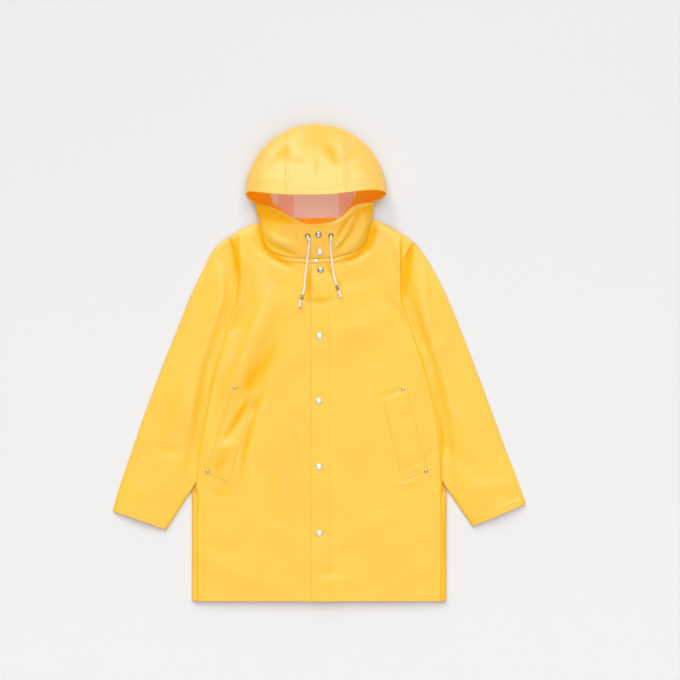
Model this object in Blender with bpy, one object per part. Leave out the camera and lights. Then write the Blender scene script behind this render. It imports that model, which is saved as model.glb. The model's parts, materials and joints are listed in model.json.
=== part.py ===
"""Hooded raincoat of rubberised cotton, laid flat on its back.

Frame: the coat lies on the plane z = 0. +Y runs from hem to hood, +X is the
right-hand side seen from above, +Z points up. All tables are in millimetres;
the meshes are made in metres.

Every cloth piece starts as its middle surface. Pieces that share a seam share
that seam's points, and their normals there, so that their walls meet face to
face; each edge is then drawn in by half the seam gap.
"""

import math
from collections import namedtuple

import bmesh
import bpy
import numpy as np
from mathutils import Vector

MM = 0.001
CLOTH = 1.5            # wall of the coated cloth
GAP = 0.3              # between neighbouring pieces
LAY = CLOTH + GAP      # middle surface to middle surface of two layers
GROUND = CLOTH / 2     # middle surface of cloth that lies on the ground

# ---------------------------------------------------------------- sizes

HEM_Y = -548.6
PLACKET_TOP_X = -19.0      # free edge of the right front, which lies on top
PLACKET_UNDER_X = 27.0     # free edge of the left front, which lies beneath
PLACKET_LIFT = 2.3         # the right front's height over the left one
SIDE_OUT = 291.8           # middle surface of the rolled side, from the centre
SIDE_ROLL = 4.75           # radius of that roll
SIDE_SEAM = 281.0          # side seam, on the front
ROLL_FROM, ROLL_FULL = -296.0, -318.0   # the roll grows between these heights
EDGE_Z = 10.6              # front panel at its side edges
SHOULDER_Z = 2.7           # front panel at the shoulder line
SHOULDER_ROUND = 15.0

HOOD_X = -7.0              # centre plane of the hood
HOOD_R = 161.5             # radius of the crown's outline
HOOD_Y = 386.0             # centre of that outline
SEAM_HALF = 69.0           # half width of the centre strip
BROW_Z = 98.0              # brow rim over the centre
CORNER_Z = 32.0            # corners of the face opening
CROWN_Z = 15.0             # widest line of the crown at its top
WALL_RUN = 34.0            # how far the side wall leans in to the ground
FACING_RUN = 30.0

# Side edge of the front panels: x on the left and on the right at each height.
Edge = namedtuple("Edge", "y left right")
EDGES = [
    Edge(-549, -281, 281),
    Edge(-300, -281, 281),
    Edge(-286, -284, 283),
    Edge(-240, -280, 281),
    Edge(-199, -274, 278),
    Edge(-132, -263, 271),
    Edge(-59, -249, 256),
    Edge(-3, -237, 241),
    Edge(36, -224, 227),
    Edge(105, -205, 204),
    Edge(160, -190, 190),
    Edge(300, -190, 192),
]

# How far the front swells over its side edges, at each height.
Swell = namedtuple("Swell", "y rise")
SWELLS = [Swell(-549, 3.4), Swell(-420, 4.4), Swell(-250, 5.2), Swell(0, 6.2),
          Swell(150, 7.0), Swell(330, 6.0)]

# Neck seam (n), the rim of collar and cheek over it (r), and the point of the
# left (l) and right (t) side edge that the panel's row from there runs to.
Neck = namedtuple("Neck", "nx ny nz rx ry rz lx ly tx ty")
NECKS = [
    Neck(-137, 322, 4.0, -145.4, 364, 30.5, -206, 289, 0, 0),
    Neck(-134, 300, 9.0, -129, 362.5, 32, -199, 268, 0, 0),
    Neck(-127, 276, 13.0, -112, 358, 34, -193, 250, 0, 0),
    Neck(-113, 257, 15.0, -95, 350.5, 36, -190, 232, 0, 0),
    Neck(-84, 245, 16.0, -77, 341, 37, -188.5, 210, 0, 0),
    Neck(-55, 241, 16.5, -57, 329.5, 38, -188, 190, 0, 0),
    Neck(-19, 239, 17.0, -19, 317, 39, -189, 168, 190, 150),
    Neck(27, 241, 17.0, 27, 323, 39, -191, 150, 191, 168),
    Neck(48, 245, 16.5, 45, 331, 38, 0, 0, 192, 184),
    Neck(70, 251, 16.0, 58, 341, 38, 0, 0, 193, 200),
    Neck(90, 260, 15.0, 74, 356, 37, 0, 0, 190.5, 218),
    Neck(106, 278, 13.0, 92, 364.5, 35, 0, 0, 194, 238),
    Neck(114.5, 300, 9.0, 108, 367, 33, 0, 0, 205, 256),
    Neck(122, 331, 4.8, 124, 368, 29, 0, 0, 217, 277),
]
# Rows of the fronts over the placket, as fractional rows of that table.
NECK_ROWS = [7, 6, 5, 4, 3, 2, 1, 0.62, 0.3, 0.1, 0]
COLLAR_RISE = [0, 0.2, 0.45, 0.72, 1]

# Rows of the fronts below the neck: y at the placket and at the side edge.
Row = namedtuple("Row", "centre side")
ROWS = [
    Row(-549, -549), Row(-490, -490), Row(-420, -420), Row(-350, -350),
    Row(-300, -300), Row(-262, -262), Row(-215, -215), Row(-160, -162),
    Row(-105, -108), Row(-50, -56), Row(0, -8), Row(50, 36), Row(105, 78),
    Row(165, 112), Row(210, 134),
]

# Soft folds of the fronts: a ridge (+) or trough (-) along a line.
Fold = namedtuple("Fold", "x0 y0 x1 y1 width height")
FOLDS = [
    Fold(-95, 150, -150, -40, 34, 6.0),
    Fold(-150, -40, -196, -215, 30, 4.0),
    Fold(-70, 120, -112, -70, 26, -2.5),
    Fold(150, 225, 165, 150, 26, 2.0),
    Fold(-140, 240, -150, 150, 26, 2.0),
    Fold(60, -560, 150, -500, 26, 2.2),
    Fold(-230, -560, -170, -520, 24, 2.0),
]

# Outline of the hood between the cheek rim and the corner of the face opening.
Side = namedtuple("Side", "x y z")
WALL_LEFT = [Side(-149.5, 367, 31), Side(-156, 370.5, 31.5), Side(-164, 377, 32)]
WALL_RIGHT = [Side(129, 371, 30), Side(138, 373.5, 31), Side(147, 378, 32)]
CORNER_LEFT = Side(-168.5, 387, CORNER_Z)
CORNER_RIGHT = Side(154.5, 388, CORNER_Z)

# y of the brow rim across the hood.
Brow = namedtuple("Brow", "x y")
BROWS = [Brow(-168.5, 387), Brow(-159, 391.5), Brow(-137, 390), Brow(-102, 385.5),
         Brow(-57, 383.6), Brow(15, 384.2), Brow(67, 389.4), Brow(95, 393),
         Brow(128, 395.5), Brow(148, 392), Brow(154.5, 388)]

# Rows of the hood's crown, as the angle from the brow rim (0) over the crown's
# outline (90) to the line between the corners underneath (180).
CROWN_ROWS = [0, 13, 27, 42, 57, 71, 82, 90, 99, 112, 130, 154, 180]
SIDE_COLUMNS = [0, 0.3, 0.55, 0.73, 0.86, 0.95, 1]
STRIP_COLUMNS = [-1, -0.67, -0.33, 0, 0.33, 0.67, 1]

# Back neck seam.
Seam = namedtuple("Seam", "x y")
BACK_NECK = [Seam(-137, 322), Seam(-76, 316), Seam(-7, 314), Seam(62, 317), Seam(122, 331)]

# Sleeves: outer fold (o) and underarm fold (i) of each section, left then
# right, how far the section bows towards the body, and its height.
Ring = namedtuple("Ring", "lox loy lix liy rox roy rix riy bow top")
RINGS = [
    Ring(-208, 287.5, -160, 0, 219.5, 275, 160, 0, 1.0, 8.0),
    Ring(-225, 276.5, -161, -14, 228, 265, 161, -14, 0.72, 9.4),
    Ring(-246, 255, -164, -30, 241, 247, 164, -30, 0.45, 10.6),
    Ring(-263, 219, -170, -50, 262, 212, 170, -50, 0.2, 11.4),
    Ring(-292, 161, -180, -78, 289, 161, 180, -80, 0, 11.8),
    Ring(-326, 76, -197, -118, 324, 76, 197, -120, 0, 11.8),
    Ring(-361, -11, -222, -168, 358, -11, 222, -170, 0, 11.6),
    Ring(-398, -110, -255, -228, 395, -110, 255, -228, 0, 11.2),
    Ring(-433, -211, -289, -286, 432, -211, 291, -286, 0, 10.8),
    Ring(-460, -290, -325, -342, 461, -286, 325, -337, 0, 10.6),
    Ring(-474.7, -342, -351.7, -384.6, 474.7, -326, 353, -377, 0, 10.8),
]
SLEEVE_TOP_T = [0, 0.018, 0.05, 0.12, 0.22, 0.34, 0.46, 0.58, 0.7, 0.81, 0.9, 0.955, 0.985, 1]
SLEEVE_UNDER_T = [0.97, 0.88, 0.74, 0.58, 0.42, 0.26, 0.1, 0.03]
SLEEVE_UNDER_FRONT = 8.4       # middle surface of a sleeve that lies under a front
SLEEVE_ON_BACK = GROUND + LAY + 0.1

# Welt pockets: the four corners, from the upper rivet round the inner edge.
Welt = namedtuple("Welt", "name ax ay bx by cx cy dx dy")
WELTS = [
    Welt("pocket_welt_left", -199, -52, -145, -70, -208, -277, -262, -251),
    Welt("pocket_welt_right", 198, -54, 146, -84, 190, -272, 250, -249),
]
# Hardware: name, place, cap diameter and height.
Stud = namedtuple("Stud", "name x y size tall")
STUDS = [
    Stud("snap_1", -1.6, 293.7, 15, 3.2),
    Stud("snap_2", 0.9, 254.4, 15, 3.2),
    Stud("snap_3", 3.2, 212.8, 15, 3.2),
    Stud("snap_4", 0.2, 61.6, 15, 3.2),
    Stud("snap_5", -1.4, -88.1, 15, 3.2),
    Stud("snap_6", -0.9, -239.4, 15, 3.2),
    Stud("snap_7", 0.2, -392.6, 15, 3.2),
    Stud("snap_neck", -7.6, 234.0, 9.5, 2.4),
    Stud("rivet_left_top", -193.4, -58.0, 8, 1.8),
    Stud("rivet_left_bottom", -256.0, -249.8, 8, 1.8),
    Stud("rivet_right_top", 193.0, -61.0, 8, 1.8),
    Stud("rivet_right_bottom", 245.5, -249.0, 8, 1.8),
]
EYELET_OUT, EYELET_HOLE, EYELET_TALL = 12.0, 6.0, 1.3
CORD_D = 5.0
KNOT_RAISE = 2.6           # the cord's end lies this much higher, on its knot
# Drawstring ends: where each lies, from its eyelet down.
CORDS = {
    "left": [(-26.7, 290.7), (-21.5, 279.5), (-24.0, 262.0), (-26.7, 243.0), (-27.6, 233.0),
             (-29.0, 222.2), (-32.7, 187.0), (-34.0, 172.0), (-38.2, 155.6)],
    "right": [(27.1, 291.4), (25.6, 269.0), (27.0, 250.0), (28.8, 235.0),
              (32.4, 205.8), (36.5, 190.0), (40.3, 177.8)],
}

# ---------------------------------------------------------------- curves


def track(xs, ys):
    """Smooth curve through a table's points, with no overshoot between them."""
    xs, ys = np.asarray(xs, float), np.asarray(ys, float)
    step = np.diff(xs)
    rise = np.diff(ys) / step
    slope = np.empty(len(xs))
    slope[0], slope[-1] = rise[0], rise[-1]
    for i in range(1, len(xs) - 1):
        a, b = rise[i - 1], rise[i]
        slope[i] = 0.0 if a * b <= 0 else 2 * a * b / (a + b)

    def at(x):
        x = np.clip(np.asarray(x, float), xs[0], xs[-1])
        i = np.clip(np.searchsorted(xs, x, side="right") - 1, 0, len(step) - 1)
        t = (x - xs[i]) / step[i]
        return (ys[i] * (1 + 2 * t) * (1 - t) ** 2 + slope[i] * step[i] * t * (1 - t) ** 2
                + ys[i + 1] * t * t * (3 - 2 * t) + slope[i + 1] * step[i] * t * t * (t - 1))

    return at


def ease(x):
    x = np.clip(x, 0.0, 1.0)
    return x * x * (3 - 2 * x)


def along(points, x, y):
    """Distance in plan from (x, y) to a polyline, and the place of the nearest
    point along it, counted in its points."""
    x, y = np.asarray(x, float), np.asarray(y, float)
    best = np.full(x.shape, 1e9)
    place = np.zeros(x.shape)
    for i, (a, b) in enumerate(zip(points[:-1], points[1:])):
        dx, dy = b[0] - a[0], b[1] - a[1]
        t = np.clip(((x - a[0]) * dx + (y - a[1]) * dy) / (dx * dx + dy * dy), 0, 1)
        d = np.hypot(x - a[0] - t * dx, y - a[1] - t * dy)
        nearer = d < best
        best = np.where(nearer, d, best)
        place = np.where(nearer, i + t, place)
    return best, place


edge_left = track([e.y for e in EDGES], [e.left for e in EDGES])
edge_right = track([e.y for e in EDGES], [e.right for e in EDGES])
swell = track([s.y for s in SWELLS], [s.rise for s in SWELLS])
brow_y = track([b.x for b in BROWS], [b.y for b in BROWS])
neck_at = {
    name: track(range(len(NECKS)), [getattr(n, name) for n in NECKS])
    for name in ("nx", "ny", "nz", "rx", "ry", "rz")
}
LAST = len(NECKS) - 1
side_at = {
    "left": [track(range(8), [getattr(n, c) for n in NECKS[:8]]) for c in ("lx", "ly")],
    "right": [track(range(6, 14), [getattr(n, c) for n in NECKS[6:]]) for c in ("tx", "ty")],
}
NECK_LINE = [(float(neck_at["nx"](q)), float(neck_at["ny"](q))) for q in np.arange(0, LAST + 0.01, 0.5)]
SHOULDERS = [
    [(-206, 289), (-193.7, 297.9), (-158.5, 315.6), (-137, 322)],
    [(217, 277), (187.2, 297.9), (150.2, 318.1), (122, 331)],
]


# ---------------------------------------------------------------- heights


def folds_at(x, y, folds):
    total = np.zeros(np.shape(x))
    for f in folds:
        dx, dy = f.x1 - f.x0, f.y1 - f.y0
        long = math.hypot(dx, dy)
        t = ((x - f.x0) * dx + (y - f.y0) * dy) / long
        across = ((x - f.x0) * dy - (y - f.y0) * dx) / long
        beyond = np.maximum(np.maximum(-t, t - long), 0)
        total = total + f.height * np.exp(-(across / f.width) ** 2 - (beyond / (1.2 * f.width)) ** 2)
    return total


def front_z(x, y):
    """Middle surface of the fronts over the ground, where they don't overlap."""
    x, y = np.asarray(x, float), np.asarray(y, float)
    reach = np.where(x < 0, x / edge_left(y), x / edge_right(y))
    room = np.clip(1 - reach ** 2, 0, 1)
    z = EDGE_Z + swell(y) * room ** 0.6 + folds_at(x, y, FOLDS) * ease(room / 0.25)
    z = np.maximum(z, EDGE_Z)
    shoulder = np.minimum(along(SHOULDERS[0], x, y)[0], along(SHOULDERS[1], x, y)[0])
    round_off = np.sqrt(1 - (1 - np.clip(shoulder / SHOULDER_ROUND, 0, 1)) ** 2)
    z = SHOULDER_Z + (z - SHOULDER_Z) * round_off
    near, place = along(NECK_LINE, x, y)
    return z + (neck_at["nz"](place / 2) - z) * np.exp(-near / 26)


def lift(x):
    """How much higher the overlapping right side lies than the left."""
    return PLACKET_LIFT * (1 - ease((np.asarray(x, float) - 34) / 40))


def collar(q, s):
    """Point of the collar over row q of the neck table, s from seam to rim."""
    foot = np.array([float(neck_at[c](q)) for c in ("nx", "ny", "nz")])
    rim = np.array([float(neck_at[c](q)) for c in ("rx", "ry", "rz")])
    p = foot + (rim - foot) * s
    p[2] = foot[2] + (rim[2] - foot[2]) * s ** 0.72
    out = p[:2] - np.array([HOOD_X, 300.0])
    side = min(1.0, abs(p[0] - HOOD_X) / 130) ** 2
    p[:2] += out / np.hypot(*out) * 1.5 * side * math.sin(math.pi * s ** 0.8)
    return p


# ---------------------------------------------------------------- sheets


class Sheet:
    """A cloth piece as its middle surface. Faces run anticlockwise seen from
    the coat's outside."""

    def __init__(self, name, look, thick=CLOTH, gap=GAP):
        self.name, self.look, self.thick, self.gap = name, look, thick, gap
        self.points, self.faces, self.keys = [], [], {}

    def put(self, p):
        key = tuple(int(round(c * 1000)) for c in p)
        if key not in self.keys:
            self.keys[key] = len(self.points)
            self.points.append(np.array(p, float))
        return self.keys[key]

    def grid(self, rows, closed=False):
        """Adds a grid of points, row by row."""
        ids = [[self.put(p) for p in row] for row in rows]
        for low, high in zip(ids[:-1], ids[1:]):
            n = len(low)
            for i in range(n if closed else n - 1):
                j = (i + 1) % n
                face = []
                for v in (low[i], low[j], high[j], high[i]):
                    if v not in face:
                        face.append(v)
                if len(face) > 2:
                    self.faces.append(face)
        return ids

    def face_normals(self):
        out = []
        for face in self.faces:
            p = [self.points[i] for i in face]
            n = np.zeros(3)
            for i in range(1, len(p) - 1):
                n += np.cross(p[i] - p[0], p[i + 1] - p[0])
            out.append(n)
        return out


def shared_normals(sheets):
    """Normal at every point, averaged over all the sheets that hold it."""
    total = {}
    for sheet in sheets:
        back = {i: key for key, i in sheet.keys.items()}
        for face, n in zip(sheet.faces, sheet.face_normals()):
            size = np.linalg.norm(n)
            if size < 1e-9:
                continue
            for k, i in enumerate(face):
                a = sheet.points[face[k - 1]] - sheet.points[i]
                b = sheet.points[face[(k + 1) % len(face)]] - sheet.points[i]
                c = np.dot(a, b) / max(np.linalg.norm(a) * np.linalg.norm(b), 1e-9)
                weight = math.acos(max(-1.0, min(1.0, c)))
                total[back[i]] = total.get(back[i], 0) + n / size * weight
    return {key: n / max(np.linalg.norm(n), 1e-9) for key, n in total.items()}


def inner_side(sheet, normals, p, half, over=0.4):
    """The place on the inner side of a sheet's point where a layer of this
    half thickness lies."""
    n = normals[tuple(int(round(c * 1000)) for c in p)]
    return tuple(np.array(p) - n * (sheet.thick / 2 + over + half))


def wall(sheet, normals):
    """Solid of the sheet's thickness, its edges drawn in by half the gap."""
    points = [p.copy() for p in sheet.points]
    back = {i: key for key, i in sheet.keys.items()}
    n = [normals[back[i]] for i in range(len(points))]
    uses = {}
    for f, face in enumerate(sheet.faces):
        for k, i in enumerate(face):
            j = face[(k + 1) % len(face)]
            uses.setdefault((min(i, j), max(i, j)), []).append((i, j, f))
    edges = [u[0] for u in uses.values() if len(u) == 1]
    face_n = sheet.face_normals()
    pull = {}
    for i, j, f in edges:
        d = np.cross(face_n[f], sheet.points[j] - sheet.points[i])
        d /= max(np.linalg.norm(d), 1e-9)
        pull.setdefault(i, []).append(d)
        pull.setdefault(j, []).append(d)
    for i, ds in pull.items():
        d = sum(ds)
        share = 1 + float(np.dot(ds[0], ds[-1])) if len(ds) > 1 else 2.0
        points[i] = points[i] + d / max(share, 0.35) * (sheet.gap / 2) * (1 if len(ds) > 1 else 2)
    mesh = bpy.data.meshes.new(sheet.name)
    count = len(points)
    half = sheet.thick / 2
    verts = [tuple((p + v * half) * MM) for p, v in zip(points, n)]
    verts += [tuple((p - v * half) * MM) for p, v in zip(points, n)]
    faces = [tuple(f) for f in sheet.faces]
    faces += [tuple(i + count for i in reversed(f)) for f in sheet.faces]
    faces += [(j, i, i + count, j + count) for i, j, _ in edges]
    mesh.from_pydata(verts, [], faces)
    return mesh


# ---------------------------------------------------------------- body


def front_rows(side, rows, neck_rows, columns):
    """Rows of a front, hem to shoulder, from side edge to placket."""
    left = side == "left"
    inner = PLACKET_UNDER_X if left else PLACKET_TOP_X
    edge = edge_left if left else edge_right
    plan = []
    for r in rows:
        plan.append(((float(edge(r.side)), r.side), (inner, r.centre, None), 0.0))
    for q in neck_rows:
        q = q if left else LAST - q
        s = (float(side_at[side][0](q)), float(side_at[side][1](q)))
        top = max(0.0, 1 - (q if left else LAST - q))
        foot = tuple(float(neck_at[c](q)) for c in ("nx", "ny", "nz"))
        plan.append((s, foot, 4.5 * top ** 2))
    out = []
    for s, i, bow in plan:
        row = []
        tight = 0.965 if bow > 3.5 else 1.0   # the shoulder's tip stops short of the collar
        for u in columns:
            u = min(u, tight)
            x = s[0] + (i[0] - s[0]) * u
            y = s[1] + (i[1] - s[1]) * u + bow * 4 * u * (1 - u)
            z = float(front_z(x, y)) if i[2] is None or u < 1 else i[2]
            row.append((x, y, z + (0.0 if left else float(lift(x)))))
        out.append(row if left else row[::-1])
    return out


def fronts():
    columns = [0, 0.04, 0.13, 0.27, 0.42, 0.56, 0.69, 0.8, 0.9, 1]
    out = []
    for side in ("left", "right"):
        sheet = Sheet("front_" + side, "rubber", gap=0.6)
        sheet.grid(front_rows(side, ROWS, NECK_ROWS, columns))
        out.append(sheet)
    return out


def rolled(s, start, out_x):
    """Section of the back's side margin: place s along the cloth from the
    centre, which starts to roll up at distance start."""
    if s <= start:
        return s, GROUND
    turn = (s - start) / SIDE_ROLL
    if turn <= math.pi:
        return start + SIDE_ROLL * math.sin(turn), GROUND + SIDE_ROLL * (1 - math.cos(turn))
    return start - (s - start - math.pi * SIDE_ROLL), GROUND + 2 * SIDE_ROLL


def back():
    sheet = Sheet("back_panel", "rubber")
    start = SIDE_OUT - SIDE_ROLL
    full = start + math.pi * SIDE_ROLL + (start - SIDE_SEAM)
    flat = [-1, -0.72, -0.47, -0.25, 0, 0.25, 0.47, 0.72, 1]
    curl = [0.14, 0.3, 0.46, 0.62, 0.8, 1]
    tops = [(-205, 288), (-172, 306.5), *[(s.x, s.y) for s in BACK_NECK], (170, 306.5), (216, 276)]
    rows = []
    ys = [HEM_Y, -490, -420, -360, -325, ROLL_FULL, -312, -307, -301, ROLL_FROM, -262, -180, -100, -20, 60, 150]
    for y in ys:
        grow = float(np.clip((ROLL_FROM - y) / (ROLL_FROM - ROLL_FULL), 0, 1))
        row = []
        for sign, edge in ((-1, edge_left), (1, edge_right)):
            reach = abs(float(edge(y))) - 3.0
            base = reach + (start - 4 - reach) * min(1.0, grow * 6)
            end = reach + (full - reach) * grow
            end = max(end, base + 3.0)
            half = [(base * f, GROUND) for f in flat[4:]]
            for c in curl:
                half.append(rolled(base + (end - base) * c, start, SIDE_OUT))
            row.append([(sign * x, y, z) for x, z in half])
        rows.append(row[0][:0:-1] + row[1])
    edge_count = len(curl)
    low = rows[-1]
    for t in (0.3, 0.55, 0.78, 0.92, 1.0):
        row = []
        count = len(low)
        for k, p in enumerate(low):
            c = k - edge_count
            if 0 <= c < len(tops):
                q = tops[c]
            else:
                # the side's narrow strip ends in a point at the shoulder tip
                tip = tops[0] if c < 0 else tops[-1]
                inner = tops[1] if c < 0 else tops[-2]
                share = (-c if c < 0 else c - len(tops) + 1) / edge_count
                q = (tip[0] + (tip[0] - inner[0]) * 0.03 * share, tip[1] + (tip[1] - inner[1]) * 0.03 * share)
            row.append((p[0] + (q[0] - p[0]) * t, p[1] + (q[1] - p[1]) * t, GROUND))
        rows.append(row)
    sheet.grid([row[::-1] for row in rows])
    return sheet


# ---------------------------------------------------------------- sleeves


def sleeve_point(side, i, t, upper):
    """Point of a sleeve section: t from the outer fold to the underarm fold."""
    r = RINGS[i]
    if side == "left":
        o, e, sign, edge = (r.lox, r.loy), (r.lix, r.liy), 1, edge_left
    else:
        o, e, sign, edge = (r.rox, r.roy), (r.rix, r.riy), -1, edge_right
    wide = math.hypot(e[0] - o[0], e[1] - o[1])
    bow = (14 if side == "left" else 25) * r.bow * math.sin(math.pi * t ** 0.7)
    x = o[0] + (e[0] - o[0]) * t + sign * bow
    y = o[1] + (e[1] - o[1]) * t
    inside = (x - float(edge(y))) * sign if y > -300 else -99.0
    cover = float(ease((inside + 38) / 22))
    on_back = float(ease((inside + 50) / 20))
    low = GROUND + (SLEEVE_ON_BACK - GROUND) * on_back
    free = 7.6 + (r.top - 7.6) * math.sin(math.pi * t) ** 0.8
    high = free + (SLEEVE_UNDER_FRONT - free) * cover
    middle = low + min(2.2, (high - low) / 2)
    from_fold = min(t, 1 - t) * wide
    full = math.sqrt(1 - (1 - min(from_fold / 8.0, 1.0)) ** 2)
    z = middle + (high - middle) * full if upper else middle - (middle - low) * full
    return x, y, z


def sleeve(side):
    sheet = Sheet("sleeve_" + side, "rubber")
    rows = []
    for i in range(len(RINGS)):
        row = [sleeve_point(side, i, t, True) for t in SLEEVE_TOP_T]
        row += [sleeve_point(side, i, t, False) for t in SLEEVE_UNDER_T]
        rows.append(row if side == "left" else row[::-1])
    sheet.grid(rows[::-1], closed=True)
    return sheet


# ---------------------------------------------------------------- hood


def crown_point(x, angle):
    """Point of the crown on the plane of this x, at this angle from the brow."""
    c = (x - HOOD_X) / HOOD_R
    s = math.sqrt(max(0.0, 1 - c * c))
    a = math.radians(angle)
    rim_y = float(brow_y(x))
    out_y = HOOD_Y + HOOD_R * s
    rim_z = CORNER_Z + (BROW_Z - CORNER_Z) * s ** 0.8
    out_z = CORNER_Z + (CROWN_Z - CORNER_Z) * s ** 0.5
    if angle <= 90:
        y = rim_y + (out_y - rim_y) * math.sin(a)
        t = math.sin(a)
        z = out_z + (rim_z - out_z) * (0.5 * math.cos(a) + 0.5 * (1 - t))
        return x, y, z
    y = HOOD_Y + HOOD_R * s * math.sin(a)
    inward = HOOD_R - math.hypot(x - HOOD_X, y - HOOD_Y)
    return x, y, under_z(inward, out_z)


def under_z(inward, out_z):
    return GROUND + (out_z - GROUND) * (1 - min(max(inward / WALL_RUN, 0), 1)) ** 2


def hood():
    left = Sheet("hood_side_left", "rubber", gap=0.6)
    right = Sheet("hood_side_right", "rubber", gap=0.6)
    centre = Sheet("hood_centre", "rubber")
    neck_y = track([s.x for s in BACK_NECK], [s.y for s in BACK_NECK])

    def neck_line(x):
        return float(np.interp(x, [s.x for s in BACK_NECK], [s.y for s in BACK_NECK]))

    # centre strip: from the back neck, under the crown and over to the brow
    rows = []
    for t in (0, 0.35, 0.7):
        rows.append([(HOOD_X + SEAM_HALF * c, neck_line(HOOD_X + SEAM_HALF * c) * (1 - t) + HOOD_Y * t, GROUND)
                     for c in STRIP_COLUMNS])
    for angle in CROWN_ROWS[::-1]:
        rows.append([crown_point(HOOD_X + SEAM_HALF * c, angle) for c in STRIP_COLUMNS])
    centre.grid([row[::-1] for row in rows])

    for sheet, sign, q0, wall_rows, corner in (
        (left, -1, 0, WALL_LEFT, CORNER_LEFT),
        (right, 1, LAST, WALL_RIGHT, CORNER_RIGHT),
    ):
        seam_x = HOOD_X + sign * SEAM_HALF
        columns = [seam_x + (corner.x - seam_x) * f for f in SIDE_COLUMNS]
        # crown
        rows = []
        for angle in CROWN_ROWS[::-1]:
            row = [crown_point(x, angle) for x in columns[:-1]]
            row.append((corner.x, corner.y, corner.z))
            rows.append(row)
        under = rows[0]
        sheet.grid(rows if sign < 0 else [row[::-1] for row in rows])
        # side and back below the corners
        outline = [tuple(collar(q0, s)) for s in COLLAR_RISE]
        outline += [tuple(w) for w in wall_rows]
        count = len(outline)
        rows = []
        for j, o in enumerate(outline):
            y0 = neck_line(seam_x) + (HOOD_Y - neck_line(seam_x)) * (j / count)
            row = []
            for f, fr in enumerate(SIDE_COLUMNS):
                x = seam_x + (o[0] - seam_x) * fr
                y = y0 + (o[1] - y0) * fr
                if j == 0:
                    y = neck_line(x) if fr < 1 else o[1]
                row.append((x, y, under_z(abs(o[0] - x), o[2])))
            row[-1] = o
            rows.append(row)
        rows.append(under)
        sheet.grid(rows if sign < 0 else [row[::-1] for row in rows])
        sheet.wall_rows = rows[len(COLLAR_RISE) - 1:]
        # collar front
        qs = NECK_ROWS if sign < 0 else [LAST - q for q in NECK_ROWS]
        rows = []
        for s in COLLAR_RISE:
            row = []
            for q in qs[::-1]:
                p = collar(q, s)
                if sign > 0:
                    p[2] += float(lift(p[0]))
                row.append(tuple(p))
            rows.append(row)
        sheet.grid(rows if sign < 0 else [row[::-1] for row in rows])
    return centre, left, right


# ---------------------------------------------------------------- what lies on the panels


def height_on(sheet, x, y, upper=True):
    """Height of a sheet's facets at a place in plan, and their normal."""
    best = None
    for face in sheet.faces:
        p = [sheet.points[i] for i in face]
        for k in range(1, len(p) - 1):
            a, b, c = p[0], p[k], p[k + 1]
            area = (b[0] - a[0]) * (c[1] - a[1]) - (b[1] - a[1]) * (c[0] - a[0])
            if abs(area) < 1e-6:
                continue
            u = ((x - a[0]) * (c[1] - a[1]) - (y - a[1]) * (c[0] - a[0])) / area
            v = ((b[0] - a[0]) * (y - a[1]) - (b[1] - a[1]) * (x - a[0])) / area
            if u < -1e-6 or v < -1e-6 or u + v > 1 + 1e-6:
                continue
            z = a[2] + u * (b[2] - a[2]) + v * (c[2] - a[2])
            n = np.cross(b - a, c - a)
            n /= np.linalg.norm(n) * (1 if n[2] > 0 else -1)
            if best is None or (z > best[0]) == upper:
                best = (z, n)
    return best


def top_of(sheets, x, y):
    found = [h for h in (height_on(s, x, y) for s in sheets) if h]
    return max(found, key=lambda h: h[0]) if found else None


def patch(name, corners, sheets, across, down, thick=1.2, over=0.9, look="rubber"):
    """Piece lying on the panels: corners a, b, c, d in plan."""
    sheet = Sheet(name, look, thick)
    a, b, c, d = [np.array(p, float) for p in corners]
    rows = []
    for j in range(down + 1):
        row = []
        for i in range(across + 1):
            u, v = i / across, j / down
            p = (a * (1 - u) + b * u) * (1 - v) + (d * (1 - u) + c * u) * v
            z, n = top_of(sheets, p[0], p[1])
            q = np.array([p[0], p[1], z]) + n * (CLOTH / 2 + over + thick / 2)
            row.append(tuple(q))
        rows.append(row)
    flat = np.cross(b - a, d - a)
    sheet.grid(rows if flat > 0 else [row[::-1] for row in rows])
    return sheet


def turned(name, profile, place, normal, look, steps=12, smooth=True):
    """Solid of revolution: profile of (radius, height) from the axis at the
    bottom to the axis at the top, standing on a place."""
    bm = bmesh.new()
    up = Vector(normal).normalized()
    turn = Vector((0, 0, 1)).rotation_difference(up)
    rings = []
    for r, h in profile:
        if r < 1e-6:
            rings.append([bm.verts.new(Vector(place) * MM + turn @ Vector((0, 0, h)) * MM)])
        else:
            rings.append([
                bm.verts.new(Vector(place) * MM + turn @ Vector((
                    r * math.cos(2 * math.pi * k / steps), r * math.sin(2 * math.pi * k / steps), h)) * MM)
                for k in range(steps)])
    for low, high in zip(rings[:-1], rings[1:]):
        for k in range(steps):
            j = (k + 1) % steps
            if len(low) == 1:
                bm.faces.new((low[0], high[j], high[k]))
            elif len(high) == 1:
                bm.faces.new((low[k], low[j], high[0]))
            else:
                bm.faces.new((low[k], low[j], high[j], high[k]))
    mesh = bpy.data.meshes.new(name)
    bm.to_mesh(mesh)
    bm.free()
    obj = add(name, mesh, look)
    if smooth:
        mesh.shade_smooth()
        mesh.set_sharp_from_angle(angle=math.radians(40))
    return obj


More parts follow.
